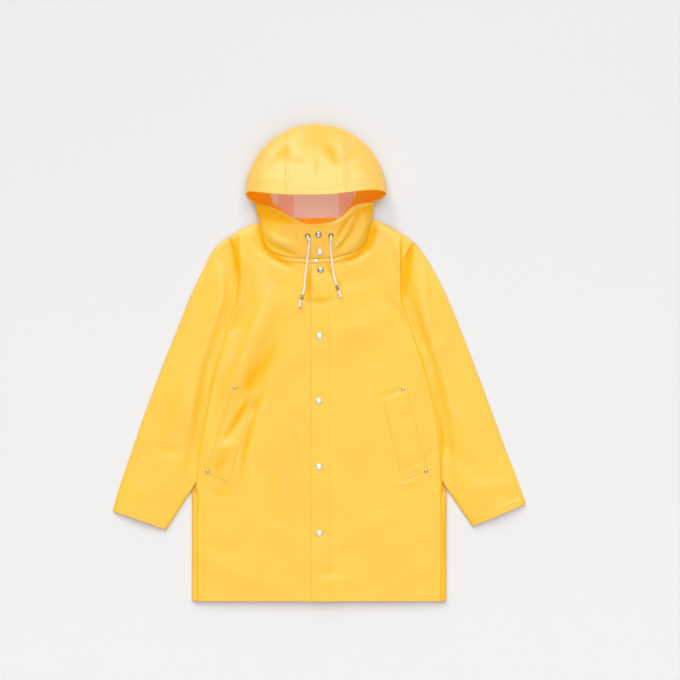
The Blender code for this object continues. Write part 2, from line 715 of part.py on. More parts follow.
def ring(name, outer, hole, tall, place, normal, look, steps=14):
    profile = [(hole / 2, 0), (outer / 2, 0), (outer / 2, tall * 0.45), (outer / 2 - 1.0, tall), (hole / 2 + 0.6, tall), (hole / 2, tall * 0.6)]
    bm = bmesh.new()
    turn = Vector((0, 0, 1)).rotation_difference(Vector(normal).normalized())
    loops = [[bm.verts.new(Vector(place) * MM + turn @ Vector((
        r * math.cos(2 * math.pi * k / steps), r * math.sin(2 * math.pi * k / steps), h)) * MM)
        for k in range(steps)] for r, h in profile]
    for i, low in enumerate(loops):
        high = loops[(i + 1) % len(loops)]
        for k in range(steps):
            j = (k + 1) % steps
            bm.faces.new((low[k], low[j], high[j], high[k]))
    mesh = bpy.data.meshes.new(name)
    bm.to_mesh(mesh)
    bm.free()
    return add(name, mesh, look)


# ---------------------------------------------------------------- materials and objects

Look = namedtuple("Look", "colour rough metal")
LOOKS = {
    "rubber": Look((1.0, 0.60, 0.075), 0.42, 0.0),
    "facing": Look((0.85, 0.30, 0.02), 0.55, 0.0),
    "metal": Look((0.72, 0.70, 0.66), 0.25, 1.0),
    "cord": Look((0.86, 0.80, 0.62), 0.85, 0.0),
}


def look_material(name):
    material = bpy.data.materials.get("coat_" + name)
    if material is None:
        material = bpy.data.materials.new("coat_" + name)
        material.use_nodes = True
        shader = material.node_tree.nodes["Principled BSDF"]
        shader.inputs["Base Color"].default_value = (*LOOKS[name].colour, 1)
        shader.inputs["Roughness"].default_value = LOOKS[name].rough
        shader.inputs["Metallic"].default_value = LOOKS[name].metal
    return material


def add(name, data, look):
    obj = bpy.data.objects.new(name, data)
    bpy.context.scene.collection.objects.link(obj)
    data.materials.append(look_material(look))
    obj.parent = bpy.data.objects["raincoat"]
    return obj


# ---------------------------------------------------------------- cords


def smooth_route(points, step):
    """Even points on a smooth curve through the given ones."""
    p = [np.array(q, float) for q in points]
    p = [2 * p[0] - p[1], *p, 2 * p[-1] - p[-2]]
    fine = []
    for a, b, c, d in zip(p[:-3], p[1:-2], p[2:-1], p[3:]):
        for t in np.linspace(0, 1, 24, endpoint=False):
            fine.append(0.5 * (2 * b + (c - a) * t + (2 * a - 5 * b + 4 * c - d) * t ** 2
                               + (3 * b - 3 * c + d - a) * t ** 3))
    fine.append(p[-2])
    fine = np.array(fine)
    long = np.concatenate([[0], np.cumsum(np.linalg.norm(np.diff(fine, axis=0), axis=1))])
    bend = min(24.0, long[-1] / 2)
    count = max(2, int(round((long[-1] - bend) / step)))
    at = np.concatenate([np.linspace(0, bend, 9)[:-1], np.linspace(bend, long[-1], count + 1)])
    return np.stack([np.interp(at, long, fine[:, k]) for k in range(3)], 1)


def cord(side, sheets):
    """Drawstring end: out of its eyelet, then down over collar and front."""
    plan = CORDS[side]
    z0, n0 = top_of(sheets, *plan[0])
    start = np.array([*plan[0], z0]) + n0 * CLOTH / 2
    down = np.array([plan[1][0] - plan[0][0], plan[1][1] - plan[0][1], 0.0])
    down -= n0 * np.dot(down, n0)
    down /= np.linalg.norm(down)
    route = [start + n0 * 0.8, start + n0 * 3.0, start + n0 * 6.0 + down * 0.6,
             start + n0 * 8.2 + down * 4.0, start + n0 * 7.6 + down * 8.5]
    rest = CORD_D / 2 + CLOTH / 2 + 0.8
    for k, (x, y) in enumerate(plan[1:]):
        z, n = top_of(sheets, x, y)
        last = max(0, k + 4 - len(plan)) / 2
        route.append(np.array([x, y, z + (rest + KNOT_RAISE * last) / n[2]]))
    return route


def tube(name, points, radius, look):
    curve = bpy.data.curves.new(name, "CURVE")
    curve.dimensions = "3D"
    spline = curve.splines.new("POLY")
    spline.points.add(len(points) - 1)
    for p, q in zip(spline.points, points):
        p.co = (*(np.asarray(q) * MM), 1)
    curve.bevel_depth = radius * MM
    curve.bevel_resolution = 2
    curve.use_fill_caps = True
    return add(name, curve, look)


# ---------------------------------------------------------------- build


def main():
    for obj in list(bpy.data.objects):
        bpy.data.objects.remove(obj, do_unlink=True)
    root = bpy.data.objects.new("raincoat", None)
    bpy.context.scene.collection.objects.link(root)

    left, right = fronts()
    back_panel = back()
    centre, hood_left, hood_right = hood()
    cloth = [left, right, back_panel, centre, hood_left, hood_right, sleeve("left"), sleeve("right")]
    normals = shared_normals(cloth)
    panels = [left, right, hood_left, hood_right]

    # facings inside the face opening, from the wall's own points
    for sheet, sign in ((hood_left, -1), (hood_right, 1)):
        facing = Sheet(sheet.name.replace("hood_side", "facing"), "facing", 1.0)
        rows = []
        for row in sheet.wall_rows:
            rows.append([inner_side(sheet, normals, p, 0.5, 1.3) for p in row[2:]])
        last = rows[-1]
        rows[-1] = [tuple(np.array(p) + (np.array(q) - np.array(p)) * 0.3) for p, q in zip(last, rows[-2])]
        facing.grid([row[::-1] for row in rows] if sign < 0 else rows)
        cloth.append(facing)
    brow = Sheet("facing_brow", "facing", 1.0)
    rows = []
    for angle in (10.5, 5, 0.6):
        row = []
        for x in np.linspace(-148, 134, 15):
            a, b, c = (np.array(crown_point(x + dx, angle + da)) for dx, da in ((0, 0), (1, 0), (0, 0.5)))
            n = np.cross(c - a, b - a)
            n /= np.linalg.norm(n)
            n = n if n[2] < 0 else -n
            row.append(tuple(a + n * (CLOTH / 2 + 0.7 + 0.5)))
        rows.append(row)
    brow.grid([row[::-1] for row in rows])
    cloth.append(brow)

    neck_facing = Sheet("back_neck_facing", "facing", 1.0)
    rows = []
    for y in (298, 315, 333):
        rows.append([(x, y - abs(x + 7) * 0.012, GROUND + CLOTH / 2 + GAP + 0.6) for x in np.linspace(-88, 72, 7)])
    neck_facing.grid(rows)
    cloth.append(neck_facing)

    # band over the collar seam, one length for each side of the placket
    for side, qs, sheets in (
        ("left", [2.2, 3, 4, 5, 5.94], [left]),
        ("right", [6.0, 6.5, 7, 8, 9, 10.2], [right]),
    ):
        band = Sheet("neck_band_" + side, "rubber", 1.2)
        rows = []
        for w in (11.0, 5.5, 1.6):
            row = []
            for q in qs:
                p = np.array([float(neck_at["nx"](q)), float(neck_at["ny"](q))])
                e = np.array([float(neck_at["nx"](q + 0.2)), float(neck_at["ny"](q + 0.2))]) - p
                out = np.array([e[1], -e[0]]) / np.hypot(*e)
                p = p + out * w
                z, n = top_of(sheets, *p)
                row.append(tuple(np.array([*p, z]) + n * (CLOTH / 2 + 0.7 + 0.6)))
            rows.append(row)
        band.grid(rows)
        cloth.append(band)

    for w in WELTS:
        sheet = patch(w.name, [(w.ax, w.ay), (w.bx, w.by), (w.cx, w.cy), (w.dx, w.dy)], [left, right], 4, 12)
        cloth.append(sheet)

    normals = shared_normals(cloth)
    for sheet in cloth:
        mesh = wall(sheet, normals)
        add(sheet.name, mesh, sheet.look)

    # press studs and rivets
    layered = {"snap_neck": [c for c in cloth if c.name == "neck_band_right"],
               "rivet_left_top": [c for c in cloth if c.name == "pocket_welt_left"],
               "rivet_left_bottom": [c for c in cloth if c.name == "pocket_welt_left"],
               "rivet_right_top": [c for c in cloth if c.name == "pocket_welt_right"],
               "rivet_right_bottom": [c for c in cloth if c.name == "pocket_welt_right"]}
    for stud in STUDS:
        under = layered.get(stud.name, panels)
        z, n = top_of(under, stud.x, stud.y)
        thick = under[0].thick
        r, h = stud.size / 2, stud.tall
        foot = np.array([stud.x, stud.y, z]) + n * (thick / 2 + 0.35)
        profile = [(0, 0), (r, 0), (r, h * 0.25), (r * 0.86, h * 0.68), (r * 0.5, h * 0.94), (0, h)]
        turned(stud.name, profile, foot, n, "metal", 12)

    # eyelets and drawstring ends
    for side in ("left", "right"):
        plan = CORDS[side]
        z, n = top_of(panels, *plan[0])
        foot = np.array([*plan[0], z]) + n * (CLOTH / 2 + 0.35)
        ring("eyelet_" + side, EYELET_OUT, EYELET_HOLE, EYELET_TALL, foot, n, "metal")
        route = smooth_route(cord(side, panels + [c for c in cloth if c.name.startswith("neck_band")]), 11.0)
        tube("cord_" + side, route, CORD_D / 2, "cord")
        end = route[-1]
        direction = route[-1] - route[-2]
        direction /= np.linalg.norm(direction)
        beyond = end + direction * 26
        z, n = top_of(panels, beyond[0], beyond[1])
        direction = np.array([beyond[0], beyond[1], z + (CORD_D / 2 + CLOTH / 2 + 0.8 + KNOT_RAISE) / n[2]]) - end
        direction /= np.linalg.norm(direction)
        clip = end + direction * GAP
        turned("cord_clip_" + side, [(0, 0), (2.6, 0), (3.3, 1.0), (3.3, 11.5), (2.6, 12.5), (0, 12.5)], clip, direction, "metal", 10)
        knot = clip + direction * (12.5 + GAP)
        turned("cord_knot_" + side, [(0, 0), (3.2, 0.4), (4.4, 3.2), (4.3, 6.0), (2.9, 8.2), (3.5, 10.6), (3.4, 14.5), (2.4, 16.6), (0, 17.0)], knot, direction, "cord", 10)


main()
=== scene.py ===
"""Looks of the hooded raincoat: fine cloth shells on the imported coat's form, its
hardware, drawstring and stitching, and the studio round it.

Tables are in millimetres, in the coat's frame: +Y from hem to hood, +Z up.
"""

import json
import math
from collections import namedtuple

import bpy
import numpy as np
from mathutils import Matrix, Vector
from mathutils.bvhtree import BVHTree

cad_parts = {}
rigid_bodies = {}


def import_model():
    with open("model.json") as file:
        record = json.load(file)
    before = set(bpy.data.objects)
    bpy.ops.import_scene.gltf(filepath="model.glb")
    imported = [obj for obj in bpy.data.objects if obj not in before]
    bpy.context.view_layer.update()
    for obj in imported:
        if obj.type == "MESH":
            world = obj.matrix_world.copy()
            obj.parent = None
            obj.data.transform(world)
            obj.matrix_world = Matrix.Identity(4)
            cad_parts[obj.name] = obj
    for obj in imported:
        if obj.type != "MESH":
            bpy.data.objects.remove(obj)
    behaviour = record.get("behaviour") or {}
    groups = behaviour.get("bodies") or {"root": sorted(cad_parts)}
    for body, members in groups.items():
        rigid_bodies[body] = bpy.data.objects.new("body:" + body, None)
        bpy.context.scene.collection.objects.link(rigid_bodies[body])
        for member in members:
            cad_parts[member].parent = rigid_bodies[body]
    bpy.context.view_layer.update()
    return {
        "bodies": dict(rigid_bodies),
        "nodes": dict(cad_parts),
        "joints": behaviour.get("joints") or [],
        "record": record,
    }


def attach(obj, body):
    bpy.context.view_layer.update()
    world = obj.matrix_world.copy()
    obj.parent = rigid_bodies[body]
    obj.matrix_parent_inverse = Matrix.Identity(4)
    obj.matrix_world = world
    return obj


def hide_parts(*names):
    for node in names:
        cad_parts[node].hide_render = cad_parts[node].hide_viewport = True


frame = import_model()

MM = 0.001
CLOTH = 1.2            # wall of the cloth shells
GROUND = 0.75          # middle surface of cloth that lies on the ground
PX = 2.3               # one pixel of the photograph
CAMERA_UP = 12.0       # metres

# ---------------------------------------------------------------- camera

cam_data = bpy.data.cameras.new("camera")
cam = bpy.data.objects.new("camera", cam_data)
bpy.context.scene.collection.objects.link(cam)
cam.location = (0.0478, 0.0518, CAMERA_UP)
cam_data.sensor_width = 36.0
cam_data.lens = 36.0 / 2 / (680 * PX * MM / 2) * (CAMERA_UP - 0.010)
cam_data.clip_start, cam_data.clip_end = 0.1, 60.0
bpy.context.scene.camera = cam

# ---------------------------------------------------------------- sizes, as in the solids

HEM_Y = -548.6
PLACKET_TOP_X = -19.0
PLACKET_UNDER_X = 27.0
PLACKET_LIFT = 2.3
SIDE_OUT = 291.8
SIDE_ROLL = 4.75
SIDE_SEAM = 281.0
ROLL_FROM, ROLL_FULL = -280.0, -301.0
EDGE_Z = 10.6
SHOULDER_Z = 2.7
SHOULDER_ROUND = 15.0
HOOD_X = -7.0
HOOD_R = 161.5
HOOD_Y = 386.0
SEAM_HALF = 69.0
BROW_Z = 98.0
CORNER_Z = 32.0
CROWN_Z = 15.0
WALL_RUN = 34.0

Edge = namedtuple("Edge", "y left right")
EDGES = [
    Edge(-549, -281, 281), Edge(-300, -281, 281), Edge(-286, -284, 283), Edge(-240, -280, 281),
    Edge(-199, -274, 278), Edge(-132, -263, 271), Edge(-59, -249, 256), Edge(-3, -237, 241),
    Edge(36, -224, 227), Edge(105, -205, 204), Edge(160, -190, 190), Edge(300, -190, 192),
]
Swell = namedtuple("Swell", "y rise")
SWELLS = [Swell(-549, 3.4), Swell(-420, 4.4), Swell(-250, 5.2), Swell(0, 6.2), Swell(150, 7.0), Swell(330, 6.0)]

Neck = namedtuple("Neck", "nx ny nz rx ry rz lx ly tx ty")
NECKS = [
    Neck(-137, 322, 4.0, -145.4, 364, 30.5, -206, 289, 0, 0),
    Neck(-134, 300, 9.0, -129, 362.5, 32, -199, 268, 0, 0),
    Neck(-127, 276, 13.0, -112, 358, 34, -193, 250, 0, 0),
    Neck(-113, 257, 15.0, -95, 350.5, 36, -190, 232, 0, 0),
    Neck(-84, 245, 16.0, -77, 341, 37, -188.5, 210, 0, 0),
    Neck(-55, 241, 16.5, -57, 329.5, 38, -188, 190, 0, 0),
    Neck(-19, 239, 17.0, -19, 317, 39, -189, 168, 190, 150),
    Neck(27, 241, 17.0, 27, 323, 39, -191, 150, 191, 168),
    Neck(48, 245, 16.5, 45, 331, 38, 0, 0, 192, 184),
    Neck(70, 251, 16.0, 58, 341, 38, 0, 0, 193, 200),
    Neck(90, 260, 15.0, 74, 356, 37, 0, 0, 190.5, 218),
    Neck(106, 278, 13.0, 92, 364.5, 35, 0, 0, 194, 238),
    Neck(114.5, 300, 9.0, 108, 367, 33, 0, 0, 205, 256),
    Neck(122, 331, 4.8, 124, 368, 29, 0, 0, 217, 277),
]
Row = namedtuple("Row", "centre side")
ROWS = [
    Row(-549, -549), Row(-490, -490), Row(-420, -420), Row(-350, -350), Row(-300, -300),
    Row(-262, -262), Row(-215, -215), Row(-160, -162), Row(-105, -108), Row(-50, -56),
    Row(0, -8), Row(50, 36), Row(105, 78), Row(165, 112), Row(210, 134),
]
Side = namedtuple("Side", "x y z")
WALL_LEFT = [Side(-149.5, 367, 31), Side(-156, 370.5, 31.5), Side(-164, 377, 32)]
WALL_RIGHT = [Side(129, 371, 30), Side(138, 373.5, 31), Side(147, 378, 32)]
CORNER_LEFT = Side(-168.5, 387, CORNER_Z)
CORNER_RIGHT = Side(154.5, 388, CORNER_Z)
Brow = namedtuple("Brow", "x y")
BROWS = [Brow(-168.5, 387), Brow(-159, 391.5), Brow(-137, 390), Brow(-102, 385.5),
         Brow(-57, 383.6), Brow(15, 384.2), Brow(67, 389.4), Brow(95, 393),
         Brow(128, 395.5), Brow(148, 392), Brow(154.5, 388)]
Seam = namedtuple("Seam", "x y")
BACK_NECK = [Seam(-137, 322), Seam(-76, 316), Seam(-7, 314), Seam(62, 317), Seam(122, 331)]
Ring = namedtuple("Ring", "lox loy lix liy rox roy rix riy bow top")
RINGS = [
    Ring(-208, 287.5, -160, 0, 219.5, 275, 160, 0, 1.0, 8.0),
    Ring(-225, 276.5, -161, -14, 228, 265, 161, -14, 0.72, 9.4),
    Ring(-246, 255, -164, -30, 241, 247, 164, -30, 0.45, 10.6),
    Ring(-263, 219, -170, -50, 262, 212, 170, -50, 0.2, 11.4),
    Ring(-292, 161, -180, -78, 289, 161, 180, -80, 0, 11.8),
    Ring(-326, 76, -197, -118, 324, 76, 197, -120, 0, 11.8),
    Ring(-361, -11, -222, -168, 358, -11, 222, -170, 0, 11.6),
    Ring(-398, -110, -255, -228, 395, -110, 255, -228, 0, 11.2),
    Ring(-433, -211, -289, -286, 432, -211, 291, -286, 0, 10.8),
    Ring(-460, -290, -325, -342, 461, -286, 325, -337, 0, 10.6),
    Ring(-474.7, -342, -351.7, -384.6, 474.7, -326, 353, -377, 0, 10.8),
]
SLEEVE_UNDER_FRONT = 8.4
SLEEVE_ON_BACK = 2.65
Welt = namedtuple("Welt", "name ax ay bx by cx cy dx dy")
WELTS = [
    Welt("pocket_welt_left", -199, -52, -145, -70, -208, -277, -262, -251),
    Welt("pocket_welt_right", 198, -54, 146, -84, 190, -272, 250, -249),
]
Stud = namedtuple("Stud", "name x y size tall")
STUDS = [
    Stud("snap_1", -1.6, 293.7, 15, 3.2), Stud("snap_2", 0.9, 254.4, 15, 3.2),
    Stud("snap_3", 3.2, 212.8, 15, 3.2), Stud("snap_4", 0.2, 61.6, 15, 3.2),
    Stud("snap_5", -1.4, -88.1, 15, 3.2), Stud("snap_6", -0.9, -239.4, 15, 3.2),
    Stud("snap_7", 0.2, -392.6, 15, 3.2), Stud("snap_neck", -7.6, 234.0, 9.5, 2.4),
    Stud("rivet_left_top", -193.4, -58.0, 8, 1.8), Stud("rivet_left_bottom", -256.0, -249.8, 8, 1.8),
    Stud("rivet_right_top", 193.0, -61.0, 8, 1.8), Stud("rivet_right_bottom", 245.5, -249.0, 8, 1.8),
]
EYELET_OUT, EYELET_HOLE, EYELET_TALL = 12.0, 6.0, 1.3
CORD_D = 5.0
KNOT_RAISE = 2.6
CORDS = {
    "left": [(-26.7, 290.7), (-21.5, 279.5), (-24.0, 262.0), (-26.7, 243.0), (-27.6, 233.0),
             (-29.0, 222.2), (-32.7, 187.0), (-34.0, 172.0), (-38.2, 155.6)],
    "right": [(27.1, 291.4), (25.6, 269.0), (27.0, 250.0), (28.8, 235.0),
              (32.4, 205.8), (36.5, 190.0), (40.3, 177.8)],
}

# ---------------------------------------------------------------- sizes of the finish

STITCH_X = 23.7        # placket's stitch line
HEM_BAND = 12.0
CUFF_BAND = 15.0
BROW_BAND = 13.5
TOPSTITCH = 6.0        # stitch lines on both sides of the hood's seams
EDGE_DROP = 1.7        # the fronts' edges come down on the sleeves
COLLAR_BULGE = 1.5
SLEEVE_FULL = 2.2      # how much fuller the sleeves' tops are than their solids

# Inner edge of the facing inside the hood: x on each side, from the neck (0)
# to the corner of the face opening (1).
Facing = namedtuple("Facing", "share left right")
FACINGS = [
    Facing(0.34, -67, 51), Facing(0.375, -76, 55), Facing(0.5, -88, 63), Facing(0.625, -100, 70.5),
    Facing(0.75, -108, 77), Facing(0.875, -110, 81), Facing(1.0, -111.5, 84),
]

# What each piece was cut from: width, length and area of its flat cut, in
# metres and square metres, all round on a sleeve, and what it lies on.
Cut = namedtuple("Cut", "node width length area on")
CUTS = [
    Cut("back_panel", 0.63, 0.885, 0.44, ""),
    Cut("front_left", 0.31, 0.87, 0.226, "back_panel sleeve_left"),
    Cut("front_right", 0.305, 0.88, 0.222, "back_panel sleeve_right front_left"),
    Cut("sleeve_left", 0.60, 0.70, 0.204, "back_panel"),
    Cut("sleeve_right", 0.60, 0.70, 0.204, "back_panel"),
    Cut("hood_centre", 0.14, 0.52, 0.057, ""),
    Cut("hood_side_left", 0.26, 0.33, 0.0465, "front_left"),
    Cut("hood_side_right", 0.26, 0.33, 0.043, "front_right hood_side_left"),
    Cut("facing_left", 0.09, 0.075, 0.0046, "hood_side_left"),
    Cut("facing_right", 0.09, 0.09, 0.0055, "hood_side_right"),
    Cut("facing_brow", 0.03, 0.33, 0.0070, "hood_centre"),
    Cut("back_neck_facing", 0.035, 0.16, 0.0054, "hood_centre"),
    Cut("neck_band_left", 0.0105, 0.13, 0.0012, "front_left"),
    Cut("neck_band_right", 0.0105, 0.13, 0.0012, "front_right"),
    Cut("pocket_welt_left", 0.057, 0.213, 0.0121, "front_left"),
    Cut("pocket_welt_right", 0.062, 0.203, 0.0120, "front_right"),
]

# Soft distant lights: where each comes from, its share of white on a level
# face, and how wide it is in degrees.
Light = namedtuple("Light", "name x y z share angle")
LIGHTS = [
    Light("softbox", 0.05, 0.60, 1.0, 0.43, 52),
    Light("window", -0.45, 1.0, 0.62, 0.12, 20),
    Light("fill", 0.10, -0.80, 1.0, 0.24, 70),
]
LAMP_AT = (0.45, 1.30, 1.45)
LAMP_WATTS = 0.6
FLOOR = [(0.0, 0.785), (0.35, 0.770), (0.5, 0.755), (0.65, 0.735), (0.8, 0.730)]
# The sky, from the hem's side (0) to the hood's (1).
WORLD = [(0.0, 0.26), (0.4, 0.26), (0.6, 0.34), (1.0, 0.72)]
# Depths of a fold in millimetres: where the painted shade in a fold begins, how much
# further to its full painted shade, and the height of a ridge at its fullest painted highlight.
SHALLOW, VALLEY, RIDGE = 0.4, 2.0, 2.2

# ---------------------------------------------------------------- creases

# A ridge (+) or trough (-) of the cloth from one place to another by way of a
# middle one: how far it spreads on its left and on its right, and its height.
Crease = namedtuple("Crease", "x0 y0 xm ym x1 y1 left right height")
BODY_CREASES = [
    Crease(-104, 185, -159, 52, -210, -82, 34, 18, 8.5),
    Crease(-69, 116, -127, -8, -178, -146, 18, 29, -4.8),
    Crease(-141, 6, -159, -49, -175, -91, 12, 14, -2.8),
    Crease(-168, 68, -201, 29, -224, -22, 12, 16, 3),
    Crease(-182, 277, -175, 190, -187, 102, 8, 10, 3.2),
    Crease(-175, 130, -187, 98, -203, 68, 9, 9, -4),
    Crease(-132, 231, -141, 185, -159, 132, 14, 16, 2),
    Crease(-122, -59, -157, -141, -182, -284, 6, 8, -3.2),
    Crease(-141, -68, -168, -155, -191, -247, 5, 6, 1.8),
    Crease(-141, -82, -178, -132, -217, -183, 8, 9, -7),
    Crease(-244, -201, -214, -194, -182, -190, 12, 10, 1.8),
    Crease(-247, -256, -224, -238, -196, -229, 10, 10, -0.8),
    Crease(-267, -279, -224, -300, -168, -275, 14, 14, -1.2),
    Crease(-260, -266, -256, -229, -242, -178, 7, 7, 2),
    Crease(-224, -36, -237, -91, -256, -151, 9, 9, -1.8),
    Crease(-143, 325, -132, 261, -65, 220, 9, 8, -5.5),
    Crease(125, 323, 109, 263, 59, 231, 8, 9, -5.5),
    Crease(-46, 151, -3, 139, 41, 151, 9, 9, -1.1),
    Crease(34, 185, 80, 187, 131, 208, 16, 15, -1.5),
    Crease(71, 217, 98, 231, 131, 250, 12, 12, 0.7),
    Crease(-44, 181, -79, 167, -118, 167, 16, 16, -0.8),
    Crease(16, 231, 29, 206, 52, 169, 6, 7, -1.8),
    Crease(16, 61, 94, 84, 177, 125, 30, 30, 2),
    Crease(149, 153, 181, 116, 204, 75, 10, 12, -2.6),
    Crease(177, 282, 188, 217, 193, 130, 10, 9, 4.6),
    Crease(154, 277, 163, 240, 167, 190, 9, 9, -1.6),
    Crease(69, 47, 75, -40, 71, -155, 11, 11, -1.2),
    Crease(108, 24, 117, -63, 108, -178, 14, 14, 1.6),
    Crease(213, 52, 241, -22, 259, -109, 7, 9, 2),
    Crease(140, -86, 163, -70, 197, -63, 6, 7, -1.8),
    Crease(177, -128, 204, -123, 227, -105, 10, 10, -1),
    Crease(181, -169, 209, -155, 232, -151, 10, 10, 0.8),
    Crease(232, -238, 248, -215, 269, -201, 8, 8, -2),
    Crease(181, -256, 213, -238, 241, -229, 9, 9, -1),
    Crease(167, -284, 204, -275, 241, -256, 7, 8, 1.3),
    Crease(-173, -316, -104, -381, -30, -399, 20, 22, 1.1),
    Crease(-7, -422, 94, -390, 209, -312, 20, 22, 1.1),
    Crease(-260, -404, -224, -429, -173, -427, 16, 16, -1.3),
    Crease(126, -344, 149, -335, 172, -316, 9, 9, -0.8),
    Crease(-7, -468, 16, -484, 52, -473, 9, 9, -1.2),
    Crease(-19, -523, 34, -500, 103, -509, 8, 10, 0.8),
    Crease(-283, -454, -182, -486, -67, -528, 18, 18, 1),
    Crease(121, -537, 195, -496, 278, -454, 18, 18, 1),
    Crease(-132, -178, -113, -284, -118, -385, 16, 18, -1.6),
    Crease(-53, -132, -40, -201, -44, -284, 9, 9, 1.4),
    Crease(269, -316, 271, -408, 269, -523, 7, 5, -2),
    Crease(-267, -316, -270, -408, -267, -523, 5, 6, -1.2),
]
HOOD_CREASES = [
    Crease(-141, 447, -99, 470, -67, 493, 15, 16, -2.6),
    Crease(-90, 466, -63, 459, -30, 461, 12, 13, -1.4),
    Crease(20, 498, 34, 473, 48, 447, 15, 15, -2.2),
    Crease(52, 459, 78, 477, 108, 493, 12, 12, -1.6),
    Crease(-5, 470, -5, 443, -7, 420, 9, 9, -1.1),
    Crease(20, 516, 43, 507, 66, 498, 11, 11, 1.2),
    Crease(-141, 470, -122, 489, -95, 507, 10, 10, 2.2),
    Crease(75, 443, 108, 429, 140, 420, 8, 10, 1.8),
    Crease(-148, 415, -113, 424, -76, 420, 10, 10, 1.5),
]
COLLAR_CREASES = [
    Crease(92, 353, 73, 300, 36, 250, 5, 6, -4.2),
    Crease(108, 346, 101, 300, 66, 254, 7, 9, 3.2),
    Crease(85, 355, 57, 330, 23, 312, 4, 4.5, 3),
    Crease(82, 344, 57, 314, 41, 282, 4, 4, -3),
    Crease(75, 319, 55, 286, 34, 266, 3.5, 3.5, 1.6),
    Crease(-127, 282, -81, 256, -30, 240, 4, 4, -3),
    Crease(-127, 305, -90, 279, -44, 268, 9, 8, 3.4),
    Crease(-122, 342, -81, 328, -49, 323, 8, 8, -1.6),
    Crease(-109, 259, -81, 247, -53, 240, 2.6, 2.6, 1.6),
    Crease(-53, 314, -44, 286, -40, 259, 6, 6, 1.2),
]
SLEEVE_CREASES = [
    Crease(-207, 291, -194, 231, -191, 135, 6, 8, -3.2),
    Crease(-189, 153, -198, 107, -217, 61, 9, 10, -4.2),
    Crease(-242, 231, -224, 144, -256, 43, 18, 20, 3),
    Crease(-339, -68, -371, -160, -417, -256, 20, 20, -3),
    Crease(-440, -302, -385, -289, -311, -243, 18, 20, 1.3),
    Crease(-297, 24, -306, -68, -329, -155, 18, 18, 1.8),
    Crease(-260, 176, -274, 121, -297, 52, 12, 14, -1.6),
    Crease(-375, -192, -339, -206, -297, -192, 12, 12, -1.4),
    Crease(-263, -40, -276, -132, -288, -247, 7, 8, -2.6),
    Crease(207, 282, 200, 217, 200, 116, 10, 6, -3.6),
    Crease(195, 130, 211, 84, 234, 24, 8, 7, -2.4),
    Crease(241, 231, 241, 144, 269, 43, 16, 16, 3.2),
    Crease(218, 15, 264, 29, 305, 70, 16, 20, 2),
    Crease(269, -169, 319, -215, 379, -275, 20, 20, -2.4),
    Crease(305, -86, 328, -132, 361, -178, 16, 16, 1.8),
    Crease(328, -302, 388, -284, 448, -279, 14, 14, 1.3),
    Crease(407, -298, 430, -312, 457, -312, 7, 7, -1),
    Crease(255, -17, 273, -109, 287, -215, 7, 8, -2.6),
    Crease(278, 144, 305, 75, 328, 1, 12, 12, -1.4),
]

# Painted shade (+) and painted highlight (-) beside the folds, laid like a crease:
# how much deeper or paler the cloth's colour is painted there, counted as millimetres of fold.
SHADES = [
    Crease(-141, 351, -120, 266, -40, 215, 9, 8, 3),
    Crease(126, 346, 110, 270, 29, 224, 8, 9, 3),
    Crease(-212, 305, -191, 247, -182, 167, 8, 8, 2.9),
    Crease(-182, 137, -198, 95, -210, 61, 7, 7, 1.3),
    Crease(227, 302, 204, 231, 190, 135, 11, 9, 3),
    Crease(188, 153, 193, 116, 204, 75, 6, 6, 1.2),
    Crease(197, 93, 227, 20, 255, -72, 6, 6, 1),
    Crease(255, -59, 269, -114, 278, -169, 4, 4, 1.3),
    Crease(-21, 222, -23, 178, -26, 132, 5, 6, 2.8),
    Crease(-23, 151, 6, 144, 39, 158, 9, 8, 1.5),
    Crease(16, 231, 29, 206, 52, 169, 6, 7, 1.9),
    Crease(-76, 47, -132, -10, -178, -68, 24, 22, 1),
    Crease(-141, -8, -157, -45, -171, -77, 16, 16, 0.5),
    Crease(-157, -72, -184, -118, -219, -174, 8, 8, 2.8),
    Crease(-136, -91, -159, -171, -187, -289, 7, 9, 0.6),
    Crease(-207, -199, -226, -229, -244, -259, 16, 16, 1.7),
    Crease(-224, 43, -253, -75, -286, -266, 4, 4, 2),
    Crease(-182, 43, -207, 10, -226, -29, 14, 14, -1.3),
    Crease(-251, -291, -224, -305, -191, -296, 12, 12, 0.9),
    Crease(285, -144, 281, -224, 280, -325, 4, 5, 2.2),
    Crease(236, -247, 255, -229, 273, -206, 8, 8, 1.1),
    Crease(149, 291, 167, 250, 179, 185, 13, 13, -1.5),
    Crease(-145, 245, -132, 199, -127, 144, 18, 18, -1.1),
    Crease(-155, 75, -132, 98, -104, 144, 14, 14, -0.7),
]
# painted shade in the hood's dents, painted highlight along its low front
HOOD_SHADES = [
    Crease(-104, 477, -79, 484, -53, 486, 20, 20, 1.6),
    Crease(-81, 477, -102, 461, -132, 447, 12, 12, 0.9),
    Crease(-76, 475, -53, 463, -23, 459, 11, 11, 0.8),
    Crease(13, 507, 32, 475, 52, 443, 17, 18, 1.4),
    Crease(52, 461, 80, 480, 117, 496, 12, 12, 0.9),
    Crease(-5, 475, -5, 447, -7, 417, 9, 9, 0.7),
    Crease(-63, 489, -12, 507, 39, 539, 46, 42, 1.7),
    Crease(-150, 397, -3, 381, 144, 399, 22, 22, -1.3),
]
